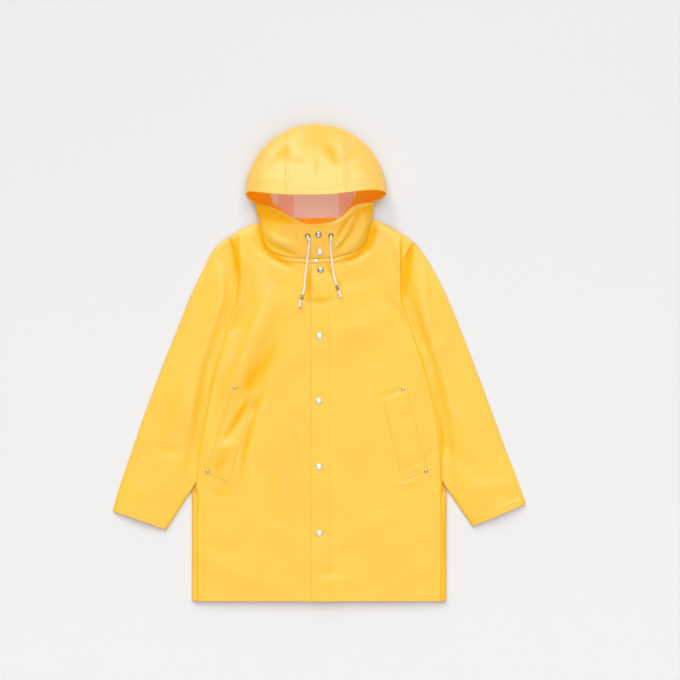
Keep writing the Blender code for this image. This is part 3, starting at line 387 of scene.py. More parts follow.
# painted shade under the face opening's rim and by the collar's folds, painted highlight on its ridges
COLLAR_SHADES = [
    Crease(-150, 367, -120, 348, -51, 319, 12, 22, 4.2),
    Crease(140, 365, 108, 355, 73, 339, 15, 6, 2.4),
    Crease(66, 337, 55, 312, 36, 279, 5, 5, 1),
    Crease(108, 319, 96, 286, 64, 254, 7, 7, 1.2),
    Crease(-122, 282, -76, 261, -35, 247, 6, 6, 1.1),
    Crease(-19, 314, 2, 312, 23, 314, 6, 6, 1.4),
    Crease(-113, 314, -76, 296, -35, 282, 26, 24, -1),
    Crease(52, 259, 75, 277, 98, 314, 8, 8, -0.8),
    Crease(-143, 342, -122, 268, -40, 231, 7, 6, 1.6),
    Crease(131, 342, 108, 268, 34, 236, 6, 7, 1.6),
]

# ---------------------------------------------------------------- curves


def track(xs, ys):
    """Smooth curve through a table's points, with no overshoot between them."""
    xs, ys = np.asarray(xs, float), np.asarray(ys, float)
    step = np.diff(xs)
    rise = np.diff(ys) / step
    slope = np.empty(len(xs))
    slope[0], slope[-1] = rise[0], rise[-1]
    for i in range(1, len(xs) - 1):
        a, b = rise[i - 1], rise[i]
        slope[i] = 0.0 if a * b <= 0 else 2 * a * b / (a + b)

    def at(x):
        x = np.clip(np.asarray(x, float), xs[0], xs[-1])
        i = np.clip(np.searchsorted(xs, x, side="right") - 1, 0, len(step) - 1)
        t = (x - xs[i]) / step[i]
        return (ys[i] * (1 + 2 * t) * (1 - t) ** 2 + slope[i] * step[i] * t * (1 - t) ** 2
                + ys[i + 1] * t * t * (3 - 2 * t) + slope[i + 1] * step[i] * t * t * (t - 1))

    return at


def ease(x):
    x = np.clip(x, 0.0, 1.0)
    return x * x * (3 - 2 * x)


def along(points, x, y):
    """Distance in plan to a polyline, place of the nearest point along it, and
    how squarely that point is on its left (1) or its right (-1)."""
    x, y = np.asarray(x, float), np.asarray(y, float)
    best = np.full(x.shape, 1e9)
    place = np.zeros(x.shape)
    lean = np.zeros(x.shape)
    for i, (a, b) in enumerate(zip(points[:-1], points[1:])):
        dx, dy = b[0] - a[0], b[1] - a[1]
        long = max(math.hypot(dx, dy), 1e-9)
        t = np.clip(((x - a[0]) * dx + (y - a[1]) * dy) / long ** 2, 0, 1)
        d = np.hypot(x - a[0] - t * dx, y - a[1] - t * dy)
        nearer = d < best
        best = np.where(nearer, d, best)
        place = np.where(nearer, i + t, place)
        off = ((y - a[1]) * dx - (x - a[0]) * dy) / long
        lean = np.where(nearer, off / np.maximum(d, 1e-6), lean)
    return best, place, np.clip(lean, -1, 1)


def bend(c, n=9):
    """Points of a crease's line, a curve through its three places."""
    out = []
    for t in np.linspace(0, 1, n):
        a, b, d = (1 - t) * (1 - 2 * t), 4 * t * (1 - t), t * (2 * t - 1)
        out.append((c.x0 * a + c.xm * b + c.x1 * d, c.y0 * a + c.ym * b + c.y1 * d))
    return out


def creases(table, x, y):
    x, y = np.broadcast_arrays(np.asarray(x, float), np.asarray(y, float))
    total = np.zeros(x.shape)
    for c in table:
        line = np.array(bend(c))
        reach = 3.0 * max(c.left, c.right)
        close = ((x > line[:, 0].min() - reach) & (x < line[:, 0].max() + reach)
                 & (y > line[:, 1].min() - reach) & (y < line[:, 1].max() + reach))
        if not close.any():
            continue
        d, place, lean = along(line, x[close], y[close])
        width = (c.left + c.right) / 2 + (c.left - c.right) / 2 * lean
        taper = np.sin(np.pi * np.clip(place / (len(line) - 1), 0.0, 1.0)) ** 0.8 * 0.9 + 0.1
        total[close] += c.height * np.exp(-(d / width) ** 2) * taper
    return total


edge_left = track([e.y for e in EDGES], [e.left for e in EDGES])
edge_right = track([e.y for e in EDGES], [e.right for e in EDGES])
swell = track([s.y for s in SWELLS], [s.rise for s in SWELLS])
brow_y = track([b.x for b in BROWS], [b.y for b in BROWS])
neck_at = {name: track(range(len(NECKS)), [getattr(n, name) for n in NECKS])
           for name in ("nx", "ny", "nz", "rx", "ry", "rz")}
LAST = len(NECKS) - 1
side_at = {
    "left": [track(range(8), [getattr(n, c) for n in NECKS[:8]]) for c in ("lx", "ly")],
    "right": [track(range(6, 14), [getattr(n, c) for n in NECKS[6:]]) for c in ("tx", "ty")],
}
NECK_LINE = [(float(neck_at["nx"](q)), float(neck_at["ny"](q))) for q in np.arange(0, LAST + 0.01, 0.25)]
SHOULDERS = [
    [(-206, 289), (-193.7, 297.9), (-158.5, 315.6), (-137, 322)],
    [(217, 277), (187.2, 297.9), (150.2, 318.1), (122, 331)],
]

# ---------------------------------------------------------------- heights


def held(rise, depth):
    """A relief whose troughs flatten out before they reach this depth."""
    depth = np.maximum(depth, 0.05)
    return np.where(rise < 0, -depth * np.tanh(np.maximum(-rise, 0) / depth), rise)


def front_base(x, y):
    x, y = np.asarray(x, float), np.asarray(y, float)
    edge = np.where(x < 0, -edge_left(y), edge_right(y))
    inside = edge - np.abs(x)
    room = np.clip(1 - (x / edge) ** 2, 0, 1)
    z = EDGE_Z + swell(y) * room ** 0.6
    shoulder = np.minimum(along(SHOULDERS[0], x, y)[0], along(SHOULDERS[1], x, y)[0])
    round_off = np.sqrt(1 - (1 - np.clip(shoulder / SHOULDER_ROUND, 0, 1)) ** 2)
    z = SHOULDER_Z + (z - SHOULDER_Z) * round_off
    near, place, _ = along(NECK_LINE, x, y)
    base = z + (neck_at["nz"](place / 4) - z) * np.exp(-near / 26)
    over_sleeve = ease((np.abs(x) - 130) / 20)
    depth = np.maximum(base - 10.3, 0) * over_sleeve + np.maximum(base - 4.5, 0) * (1 - over_sleeve) + 0.3
    rise = creases(BODY_CREASES, x, y) * ease(inside / 9) * ease(near / 5) * ease(shoulder / 14)
    base = base - EDGE_DROP * (1 - ease(inside / 5)) * ease(base - 9.3)
    return base + held(rise, depth)


def lift(x):
    return PLACKET_LIFT * (1 - ease((np.asarray(x, float) - 34) / 40))


def collar(q, s):
    """Points of the collar: q along the neck table, s from seam to rim."""
    q, s = np.broadcast_arrays(np.asarray(q, float), np.asarray(s, float))
    foot = np.stack([neck_at[c](q) for c in ("nx", "ny", "nz")], -1)
    rim = np.stack([neck_at[c](q) for c in ("rx", "ry", "rz")], -1)
    p = foot + (rim - foot) * s[..., None]
    p[..., 2] = foot[..., 2] + (rim[..., 2] - foot[..., 2]) * s ** 0.72
    out = p[..., :2] - np.array([HOOD_X, 300.0])
    side = np.minimum(1.0, np.abs(p[..., 0] - HOOD_X) / 130) ** 2
    out = out / np.maximum(np.hypot(out[..., 0], out[..., 1]), 1e-6)[..., None]
    p[..., :2] += out * (COLLAR_BULGE * side * np.sin(np.pi * s ** 0.8))[..., None]
    return p


# ---------------------------------------------------------------- sheets


class Sheet:
    """A cloth piece as its middle surface, from grids of points whose shared
    edges weld. Its faces run anticlockwise seen from the coat's outside."""

    def __init__(self, name, thick=CLOTH, gap=0.12):
        self.name, self.thick, self.gap = name, thick, gap
        self.grids = []

    def grid(self, points, flip=False, closed=False):
        points = np.asarray(points, float)
        if flip:
            points = points[:, ::-1]
        r, c = points.shape[:2]
        i = np.arange(r - 1)[:, None]
        j = np.arange(c if closed else c - 1)[None]
        k = (j + 1) % c
        faces = np.stack(np.broadcast_arrays(i * c + j, i * c + k, (i + 1) * c + k, (i + 1) * c + j), -1)
        along_u = np.concatenate([np.zeros((r, 1)), np.cumsum(np.linalg.norm(np.diff(points, axis=1), axis=2), 1)], 1)
        along_v = np.concatenate([np.zeros((1, c)), np.cumsum(np.linalg.norm(np.diff(points, axis=0), axis=2), 0)], 0)
        self.grids.append((points.reshape(-1, 3), faces.reshape(-1, 4), np.stack([along_u, along_v], -1).reshape(-1, 2)))
        return self

    def weld(self):
        start, all_points, all_faces, all_uv = 0, [], [], []
        for points, faces, uv in self.grids:
            all_points.append(points)
            all_faces.append(faces + start)
            all_uv.append(uv)
            start += len(points)
        points = np.concatenate(all_points)
        uv = np.concatenate(all_uv)
        keys = np.round(points * 200).astype(np.int64)
        _, first, index = np.unique(keys, axis=0, return_index=True, return_inverse=True)
        index = index.reshape(-1)
        faces = index[np.concatenate(all_faces)]
        same = sum((faces[:, k] == faces[:, (k + 1) % 4]).astype(int) for k in range(4))
        self.points, self.faces, self.uv = points[first], faces[same < 2], uv[first]
        self.keys = keys[first]
        return self


def face_normals(points, faces):
    a, b, c, d = (points[faces[:, k]] for k in range(4))
    return np.cross(c - a, d - b)


def shared_normals(sheets):
    """Gives each sheet its normals, with points at one place sharing theirs."""
    keys = np.concatenate([s.keys for s in sheets])
    _, index = np.unique(keys, axis=0, return_inverse=True)
    index = index.reshape(-1)
    total = np.zeros((index.max() + 1, 3))
    start = 0
    for s in sheets:
        f = face_normals(s.points, s.faces)
        size = np.linalg.norm(f, axis=1)
        f = f / np.sqrt(np.maximum(size, 1e-12))[:, None]
        at = index[start:start + len(s.points)]
        for k in range(4):
            np.add.at(total, at[s.faces[:, k]], f)
        start += len(s.points)
    total /= np.maximum(np.linalg.norm(total, axis=1), 1e-12)[:, None]
    start = 0
    for s in sheets:
        s.normals = total[index[start:start + len(s.points)]]
        start += len(s.points)


def boundary(faces):
    """Directed boundary edges."""
    e = np.concatenate([np.stack([faces[:, k], faces[:, (k + 1) % 4]], 1) for k in range(4)])
    e = e[e[:, 0] != e[:, 1]]
    low, high = e.min(1), e.max(1)
    code = low.astype(np.int64) * (e.max() + 1) + high
    _, first, count = np.unique(code, return_index=True, return_counts=True)
    return e[first[count == 1]]


def folds(sheet, rounds=26):
    """How deep each point lies in the cloth's folds, in millimetres: above
    zero in a valley, below zero on a ridge."""
    p = sheet.points
    f = sheet.faces
    e = np.concatenate([np.stack([f[:, k], f[:, (k + 1) % 4]], 1) for k in range(4)])
    e = e[e[:, 0] != e[:, 1]]
    count = np.zeros(len(p))
    np.add.at(count, e[:, 0], 1)
    np.add.at(count, e[:, 1], 1)
    count = np.maximum(count, 1)[:, None]
    q = p.copy()
    for _ in range(rounds):
        total = np.zeros_like(p)
        for k in range(3):
            total[:, k] = (np.bincount(e[:, 0], q[e[:, 1], k], len(p)) + np.bincount(e[:, 1], q[e[:, 0], k], len(p)))
        q = 0.35 * q + 0.65 * total / count
    depth = ((q - p) * sheet.normals).sum(1)
    at_edge = np.zeros(len(p), bool)
    at_edge[boundary(f).ravel()] = True
    near = at_edge.astype(float)
    for _ in range(10):
        near = np.maximum(near, 0.86 * np.bincount(e[:, 0], near[e[:, 1]], len(p)) / count[:, 0] * 2)
        near = np.minimum(near, 1)
    return depth * (1 - near)


def shell(sheet, materials, lines=None, inner_look=None, hem=None, name=None):
    """Closed shell of the sheet with round edges. lines gives signed distances
    to the seam lines that the cloth's material presses in, with each point's fold depth and amounts of painted shade,
    highlight and sheen, and hem how much thicker the cloth is at each point, on its inner side."""
    p, n, faces = sheet.points.copy(), sheet.normals, sheet.faces
    half = sheet.thick / 2
    more = np.zeros(len(p)) if hem is None else hem
    edges = boundary(faces)
    out = np.zeros_like(p)
    tangent = p[edges[:, 1]] - p[edges[:, 0]]
    tangent /= np.maximum(np.linalg.norm(tangent, axis=1), 1e-9)[:, None]
    for k in (0, 1):
        d = np.cross(tangent, n[edges[:, k]])
        np.add.at(out, edges[:, k], d / np.maximum(np.linalg.norm(d, axis=1), 1e-9)[:, None])
    size = np.linalg.norm(out, axis=1)
    on = size > 1e-6
    at_edge = np.zeros(len(p), bool)
    at_edge[edges.ravel()] = True
    out[on] /= size[on][:, None]
    pull = np.where(at_edge, half + sheet.gap / 2, 0.0)
    p = p - out * pull[:, None]
    count = len(p)
    verts = [p + n * half, p - n * (half + more)[:, None]]
    ring = np.where(at_edge)[0]
    slot = np.full(count, -1)
    slot[ring] = np.arange(len(ring))
    steps = (45, 0, -45)
    centre = p[ring] - n[ring] * (more[ring] / 2)[:, None]
    tall = (half + more[ring] / 2)[:, None]
    for a in steps:
        a = math.radians(a)
        verts.append(centre + n[ring] * tall * math.sin(a) + out[ring] * half * math.cos(a))
    verts = np.concatenate(verts)
    quads = [faces, faces[:, ::-1] + count]
    inner = np.ones(len(faces), int)
    if inner_look is not None:
        inner = inner_look(sheet.points[faces].mean(1))
    mats = [np.zeros(len(faces), int), inner]
    i, j = edges[:, 0], edges[:, 1]
    chain = [(i, j)]
    for k in range(len(steps)):
        base = 2 * count + k * len(ring)
        chain.append((base + slot[i], base + slot[j]))
    chain.append((i + count, j + count))
    for (a, b), (c, d) in zip(chain[:-1], chain[1:]):
        quads.append(np.stack([b, a, c, d], 1))
        mats.append(np.zeros(len(edges), int))
    source = np.concatenate([np.arange(count), np.arange(count)] + [ring] * len(steps))
    obj = mesh_object(name or sheet.name + "_cloth", verts, np.concatenate(quads), materials, np.concatenate(mats))
    uv = obj.data.uv_layers.new(name="UVMap")
    loops = np.empty(len(obj.data.loops), np.int64)
    obj.data.loops.foreach_get("vertex_index", loops)
    uv.data.foreach_set("uv", (sheet.uv[source][loops] * MM).ravel())
    if lines is not None:
        for key, values in lines.items():
            layer = obj.data.attributes.new(key, "FLOAT", "POINT")
            layer.data.foreach_set("value", np.asarray(values, float)[source].astype(np.float32))
    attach(obj, "root")
    return obj


def mesh_object(name, verts, faces, materials, mats=None, smooth=True):
    """An object from points in millimetres; a face's repeated corners count once."""
    mesh = bpy.data.meshes.new(name)
    clean = [list(dict.fromkeys(f)) for f in (faces.tolist() if hasattr(faces, "tolist") else faces)]
    mesh.from_pydata((np.asarray(verts) * MM).tolist(), [], clean)
    for m in materials:
        mesh.materials.append(m)
    if mats is not None:
        mesh.polygons.foreach_set("material_index", np.asarray(mats, np.int32))
    mesh.polygons.foreach_set("use_smooth", np.full(len(clean), smooth))
    mesh.update()
    obj = bpy.data.objects.new(name, mesh)
    bpy.context.scene.collection.objects.link(obj)
    return obj


def moved_out(grid, distance):
    """The grid moved along its normals (columns cross rows)."""
    du, dv = np.gradient(grid, axis=1), np.gradient(grid, axis=0)
    n = np.cross(du, dv)
    n /= np.maximum(np.linalg.norm(n, axis=-1), 1e-9)[..., None]
    return grid + n * np.asarray(distance, float)[..., None] if np.ndim(distance) else grid + n * distance


class Under:
    """Finds the uppermost of some sheets at a place in plan."""

    def __init__(self, sheets):
        self.sheets = sheets
        self.trees = [BVHTree.FromPolygons(s.points.tolist(), [list(dict.fromkeys(f)) for f in s.faces.tolist()])
                      for s in sheets]

    def at(self, x, y):
        best = None
        for s, tree in zip(self.sheets, self.trees):
            hit, _, index, _ = tree.ray_cast(Vector((x, y, 300)), Vector((0, 0, -1)))
            if hit is not None and (best is None or hit.z > best[0]):
                n = s.normals[s.faces[index]].mean(0)
                best = (hit.z, n / np.linalg.norm(n) * (1 if n[2] > 0 else -1))
        return best

    def many(self, x, y):
        """Heights and normals for a grid of places."""
        found = [self.at(a, b) for a, b in zip(np.ravel(x), np.ravel(y))]
        first = next(f for f in found if f)
        kept, last = [], first
        for f in found:
            last = f or last
            kept.append(last)
        z = np.array([f[0] for f in kept]).reshape(np.shape(x))
        n = np.array([f[1] for f in kept]).reshape(*np.shape(x), 3)
        return z, n


# ---------------------------------------------------------------- materials


def material(name):
    m = bpy.data.materials.new(name)
    m.use_nodes = True
    return m, m.node_tree.nodes, m.node_tree.links, m.node_tree.nodes["Principled BSDF"]


def noise(nodes, links, coords, scale, detail=3.0, rough=0.55):
    t = nodes.new("ShaderNodeTexNoise")
    t.inputs["Scale"].default_value = scale
    t.inputs["Detail"].default_value = detail
    t.inputs["Roughness"].default_value = rough
    links.new(coords, t.inputs["Vector"])
    return t.outputs["Fac"]


def ramp(nodes, links, value, stops):
    r = nodes.new("ShaderNodeValToRGB")
    r.color_ramp.elements[0].position, r.color_ramp.elements[0].color = stops[0][0], (*stops[0][1], 1)
    r.color_ramp.elements[1].position, r.color_ramp.elements[1].color = stops[-1][0], (*stops[-1][1], 1)
    for place, colour in stops[1:-1]:
        e = r.color_ramp.elements.new(place)
        e.color = (*colour, 1)
    links.new(value, r.inputs["Fac"])
    return r.outputs["Color"]


def mathed(nodes, links, op, a, b=None, clamp=False):
    m = nodes.new("ShaderNodeMath")
    m.operation = op
    m.use_clamp = clamp
    for i, v in enumerate((a, b)):
        if v is None:
            continue
        if isinstance(v, (int, float)):
            m.inputs[i].default_value = v
        else:
            links.new(v, m.inputs[i])
    return m.outputs[0]


def blended(nodes, links, kind, factor, a, b):
    mix = nodes.new("ShaderNodeMix")
    mix.data_type, mix.blend_type = "RGBA", kind
    for socket, v in (("Factor", factor), ("A", a), ("B", b)):
        if isinstance(v, (int, float)):
            mix.inputs[socket].default_value = v
        elif isinstance(v, tuple):
            mix.inputs[6 if socket == "A" else 7].default_value = (*v, 1)
        elif socket == "Factor":
            links.new(v, mix.inputs[0])
        else:
            links.new(v, mix.inputs[6 if socket == "A" else 7])
    return mix.outputs[2]


def bumped(nodes, links, height, strength, distance, normal=None):
    b = nodes.new("ShaderNodeBump")
    b.inputs["Strength"].default_value = strength
    b.inputs["Distance"].default_value = distance
    links.new(height, b.inputs["Height"])
    if normal is not None:
        links.new(normal, b.inputs["Normal"])
    return b.outputs["Normal"]


def paint_glow(links, shader, colour, painted_glow):
    """Painted light: the cloth's colour glows as emission, brightening it where the lamps reach little."""
    if painted_glow:
        links.new(colour, shader.inputs["Emission Color"])
        shader.inputs["Emission Strength"].default_value = painted_glow


def rubber_material(name, light, mid, deep, lines=False, shine=1.0, painted_glow=0.0, groove_colour=(0.86, 0.40, 0.002)):
    """Rubberised cotton: a satin coating, faintly cloudy, that shows the
    cotton's weave as a fine grain, with its seam lines pressed in, and with lines
    its painted shade in valleys, painted highlight on ridges and painted sheen."""
    m, nodes, links, shader = material(name)
    coords = nodes.new("ShaderNodeTexCoord").outputs["Object"]
    colour = ramp(nodes, links, noise(nodes, links, coords, 8.0, 3.0, 0.5), [(0.32, deep), (0.5, mid), (0.68, light)])
    fleck = ramp(nodes, links, noise(nodes, links, coords, 2600.0, 2.0, 0.6),
                 [(0.35, (0.97, 0.965, 0.95)), (0.62, (1.0, 1.0, 1.0))])
    colour = blended(nodes, links, "MULTIPLY", 1.0, colour, fleck)
    grain = noise(nodes, links, coords, 1500.0, 3.0, 0.6)
    ripple = noise(nodes, links, coords, 55.0, 2.0, 0.5)
    height = mathed(nodes, links, "ADD", grain, mathed(nodes, links, "MULTIPLY", ripple, 2.4))
    normal = bumped(nodes, links, height, 0.30, 0.0005)
    if lines:
        groove = None
        for key in ("line_a", "line_b"):
            a = nodes.new("ShaderNodeAttribute")
            a.attribute_name = key
            d = mathed(nodes, links, "ABSOLUTE", a.outputs["Fac"])
            g = mathed(nodes, links, "SUBTRACT", 1.0, mathed(nodes, links, "DIVIDE", d, 1.1), clamp=True)
            groove = g if groove is None else mathed(nodes, links, "MAXIMUM", groove, g)
        # painted shade: valleys get a deeper orange and less shine; painted highlight: ridges a paler yellow; painted
        # sheen: a whitish tint where the sheen attribute says
        f = nodes.new("ShaderNodeAttribute")
        f.attribute_name = "fold"
        valley = mathed(nodes, links, "DIVIDE", mathed(nodes, links, "SUBTRACT", f.outputs["Fac"], SHALLOW), VALLEY, clamp=True)
        ridge = mathed(nodes, links, "DIVIDE", f.outputs["Fac"], -RIDGE, clamp=True)
        pale = nodes.new("ShaderNodeAttribute")
        pale.attribute_name = "pale"
        colour = blended(nodes, links, "MIX", pale.outputs["Fac"], colour, (0.97, 0.53, 0.16))
        colour = blended(nodes, links, "MIX", mathed(nodes, links, "MULTIPLY", ridge, 0.6), colour, (0.985, 0.60, 0.10))
        colour = blended(nodes, links, "MIX", mathed(nodes, links, "MULTIPLY", valley, 0.9), colour, (0.955, 0.43, 0.0))
        colour = blended(nodes, links, "MIX", mathed(nodes, links, "MULTIPLY", groove, 0.18), colour, groove_colour)
        normal = bumped(nodes, links, mathed(nodes, links, "SUBTRACT", 1.0, groove), 0.35, 0.0004, normal)
    links.new(colour, shader.inputs["Base Color"])
    links.new(normal, shader.inputs["Normal"])
    rough = ramp(nodes, links, noise(nodes, links, coords, 30.0, 3.0), [(0.3, (0.40,) * 3), (0.7, (0.46,) * 3)])
    links.new(rough, shader.inputs["Roughness"])
    shader.inputs["Specular IOR Level"].default_value = shine
    if lines:
        # painted shade: the shine is dulled in valleys
        painted_shade_dull = mathed(nodes, links, "MULTIPLY", valley, 0.85 * shine)
        links.new(mathed(nodes, links, "SUBTRACT", shine, painted_shade_dull), shader.inputs["Specular IOR Level"])
    paint_glow(links, shader, colour, painted_glow)
    return m


def cotton_material(name, base, deep, painted_glow=0.0):
    """Cotton backing inside the coat: a plain weave, glowing faintly as painted light."""
    m, nodes, links, shader = material(name)
    tex = nodes.new("ShaderNodeTexCoord")
    coords, uv = tex.outputs["Object"], tex.outputs["UV"]
    height = None
    for axis in (0, 1):
        w = nodes.new("ShaderNodeTexWave")
        w.wave_type, w.bands_direction = "BANDS", "X" if axis == 0 else "Y"
        w.inputs["Scale"].default_value = 420.0
        w.inputs["Distortion"].default_value = 0.6
        w.inputs["Detail"].default_value = 1.0
        links.new(uv, w.inputs["Vector"])
        height = w.outputs["Fac"] if height is None else mathed(nodes, links, "MAXIMUM", height, w.outputs["Fac"])
    colour = ramp(nodes, links, noise(nodes, links, coords, 14.0), [(0.3, deep), (0.7, base)])
    shade = ramp(nodes, links, height, [(0.2, (0.92, 0.90, 0.89)), (0.9, (1.0, 1.0, 1.0))])
    colour = blended(nodes, links, "MULTIPLY", 1.0, colour, shade)
    links.new(colour, shader.inputs["Base Color"])
    links.new(bumped(nodes, links, height, 0.35, 0.0003), shader.inputs["Normal"])
    paint_glow(links, shader, colour, painted_glow)
    shader.inputs["Roughness"].default_value = 0.9
    shader.inputs["Specular IOR Level"].default_value = 0.25
    return m


def metal_material(name, base, rough, metallic=1.0):
    m, nodes, links, shader = material(name)
    coords = nodes.new("ShaderNodeTexCoord").outputs["Object"]
    links.new(ramp(nodes, links, noise(nodes, links, coords, 90.0), [(0.3, tuple(c * 0.88 for c in base)), (0.7, base)]),
              shader.inputs["Base Color"])
    links.new(ramp(nodes, links, noise(nodes, links, coords, 420.0), [(0.3, (rough * 0.8,) * 3), (0.75, (rough * 1.4,) * 3)]),
              shader.inputs["Roughness"])
    links.new(bumped(nodes, links, noise(nodes, links, coords, 900.0), 0.10, 0.0002), shader.inputs["Normal"])
    shader.inputs["Metallic"].default_value = metallic
    return m


def cord_material(name, base, deep=0.78):
    m, nodes, links, shader = material(name)
    coords = nodes.new("ShaderNodeTexCoord").outputs["Object"]
    fibre = noise(nodes, links, coords, 2600.0, 4.0, 0.7)
    links.new(ramp(nodes, links, fibre, [(0.3, tuple(c * deep for c in base)), (0.65, base)]), shader.inputs["Base Color"])
    links.new(bumped(nodes, links, fibre, 0.5, 0.0003), shader.inputs["Normal"])
    shader.inputs["Roughness"].default_value = 0.92
    shader.inputs["Specular IOR Level"].default_value = 0.2
    return m


coat = rubber_material("coated_cloth", (0.97, 0.535, 0.006), (0.965, 0.520, 0.004), (0.955, 0.500, 0.003), lines=True)
coat_plain = rubber_material("coated_cloth_trim", (0.965, 0.520, 0.004), (0.96, 0.505, 0.003), (0.95, 0.485, 0.002))
# the same coated cloth painted a deeper orange with less shine: painted shade for the facings deep in the hood, also
# glowing as painted light
coat_painted_shade = rubber_material("coated_cloth_inside", (0.97, 0.40, 0.002), (0.96, 0.37, 0.001), (0.94, 0.34, 0.001), shine=0.2, painted_glow=0.17)
thread = cord_material("thread", (0.95, 0.50, 0.02), 0.9)
# the lining and the seam tapes glow faintly as painted light
cotton = cotton_material("cotton_backing", (0.87, 0.61, 0.50), (0.84, 0.57, 0.46), painted_glow=0.17)
tape = cotton_material("seam_tape", (0.88, 0.47, 0.32), (0.85, 0.43, 0.28), painted_glow=0.17)
nickel = metal_material("nickel", (0.60, 0.56, 0.51), 0.24)
# nickel painted whiter for most snap caps: painted reflection of the white light
nickel_painted_reflection = metal_material("nickel_cap", (0.90, 0.885, 0.86), 0.32, 0.5)
# nickel painted darker: painted shade for the caps' rims and the eyelets
nickel_painted_shade = metal_material("nickel_in_shade", (0.28, 0.25, 0.21), 0.30)
clip_metal = metal_material("clip_metal", (0.45, 0.36, 0.26), 0.32)
cord_look = cord_material("cord_cotton", (0.95, 0.90, 0.76))
knot_look = cord_material("knot_cotton", (0.94, 0.86, 0.74))

# ---------------------------------------------------------------- fronts


def two_ends(n, tight=0.65):
    """From 0 to 1, closer together near both ends."""
    t = np.linspace(0, 1, n)
    return t + (0.5 - 0.5 * np.cos(math.pi * t) - t) * tight


def front_lines(side, n_low=214, n_neck=74):
    """Ends of the rows of a front, hem to shoulder: side edge, inner edge, bow."""
    left = side == "left"
    inner = PLACKET_UNDER_X if left else PLACKET_TOP_X
    edge = edge_left if left else edge_right
    centre = track(range(len(ROWS)), [r.centre for r in ROWS])
    outer = track(range(len(ROWS)), [r.side for r in ROWS])
    w = np.linspace(0, len(ROWS) - 1, 2000)
    length = centre(w) - centre(0)
    places = np.concatenate([np.linspace(0, 20, 18)[:-1], np.linspace(20, length[-1], n_low - 17)])
    w = np.interp(places, length, w)
    s = np.stack([edge(outer(w)), outer(w)], 1)
    i = np.stack([np.full(n_low, inner), centre(w)], 1)
    q_list = np.concatenate([7 - np.linspace(0, 1, n_neck - 8) ** 0.92 * 6.0, np.linspace(1, 0, 10)[1:]])
    q = q_list if left else LAST - q_list
    s2 = np.stack([side_at[side][0](q), side_at[side][1](q)], 1)
    i2 = np.stack([neck_at["nx"](q), neck_at["ny"](q)], 1)
    mid = np.linspace(0, 1, 9)[1:-1, None]
    s = np.concatenate([s, s[-1] + (s2[0] - s[-1]) * mid, s2])
    i = np.concatenate([i, i[-1] + (i2[0] - i[-1]) * mid, i2])
    top = np.maximum(0.0, 1 - q_list)
    bow = np.concatenate([np.zeros(len(s) - len(q)), 4.5 * top ** 2])
    return s, i, bow


def front_detail(x, y, side):
    """Bands, the pull of the press studs, and the gaping placket."""
    z = 0.45 * (1 - ease((y - HEM_Y - HEM_BAND) / 2.0))
    if side == "right":
        z = z + 0.35 * (1 - ease((x - STITCH_X) / 2.4))
        z = z + 2.4 * np.exp(-((x + 19) / 13) ** 2 - ((y - 184) / 26) ** 2)
        z = z + 0.9 * np.exp(-((x + 19) / 10) ** 2) * (0.5 + 0.5 * np.cos((y - 61) / 150 * 2 * math.pi + math.pi))
    else:
        z = z - 3.6 * np.exp(-((x + 28) / 10) ** 2 - ((y - 180) / 28) ** 2)
    for s in STUDS:
        if s.name.startswith("snap"):
            r = np.hypot(x - s.x, y - s.y)
            z = z - 0.9 * np.exp(-(r / (s.size * 0.95)) ** 2)
            a = np.arctan2(y - s.y, x - s.x)
            z = z + 0.35 * np.cos(3 * a + s.y) * np.exp(-((r - 17) / 9) ** 2)
    return z


def front(side, columns=96):
    left = side == "left"
    s, i, bow = front_lines(side)
    u = two_ends(columns, 0.45)[None] * (1 - 0.035 * ease((bow - 2.0) / 1.5)[:, None])
    x = s[:, :1] + (i[:, :1] - s[:, :1]) * u
    y = s[:, 1:] + (i[:, 1:] - s[:, 1:]) * u + bow[:, None] * 4 * u * (1 - u)
    z = front_base(x, y) + front_detail(x, y, side)
    if not left:
        z = z + lift(x)
    sheet = Sheet("front_" + side, gap=0.15)
    sheet.grid(np.stack([x, y, z], -1), flip=not left)
    return sheet


# ---------------------------------------------------------------- back


def rolled(s, start):
    turn = np.clip((s - start) / SIDE_ROLL, 0, math.pi)
    beyond = np.maximum(s - start - math.pi * SIDE_ROLL, 0)
    x = np.where(s <= start, s, start + SIDE_ROLL * np.sin(turn) - beyond)
    return x, GROUND + SIDE_ROLL * (1 - np.cos(turn))


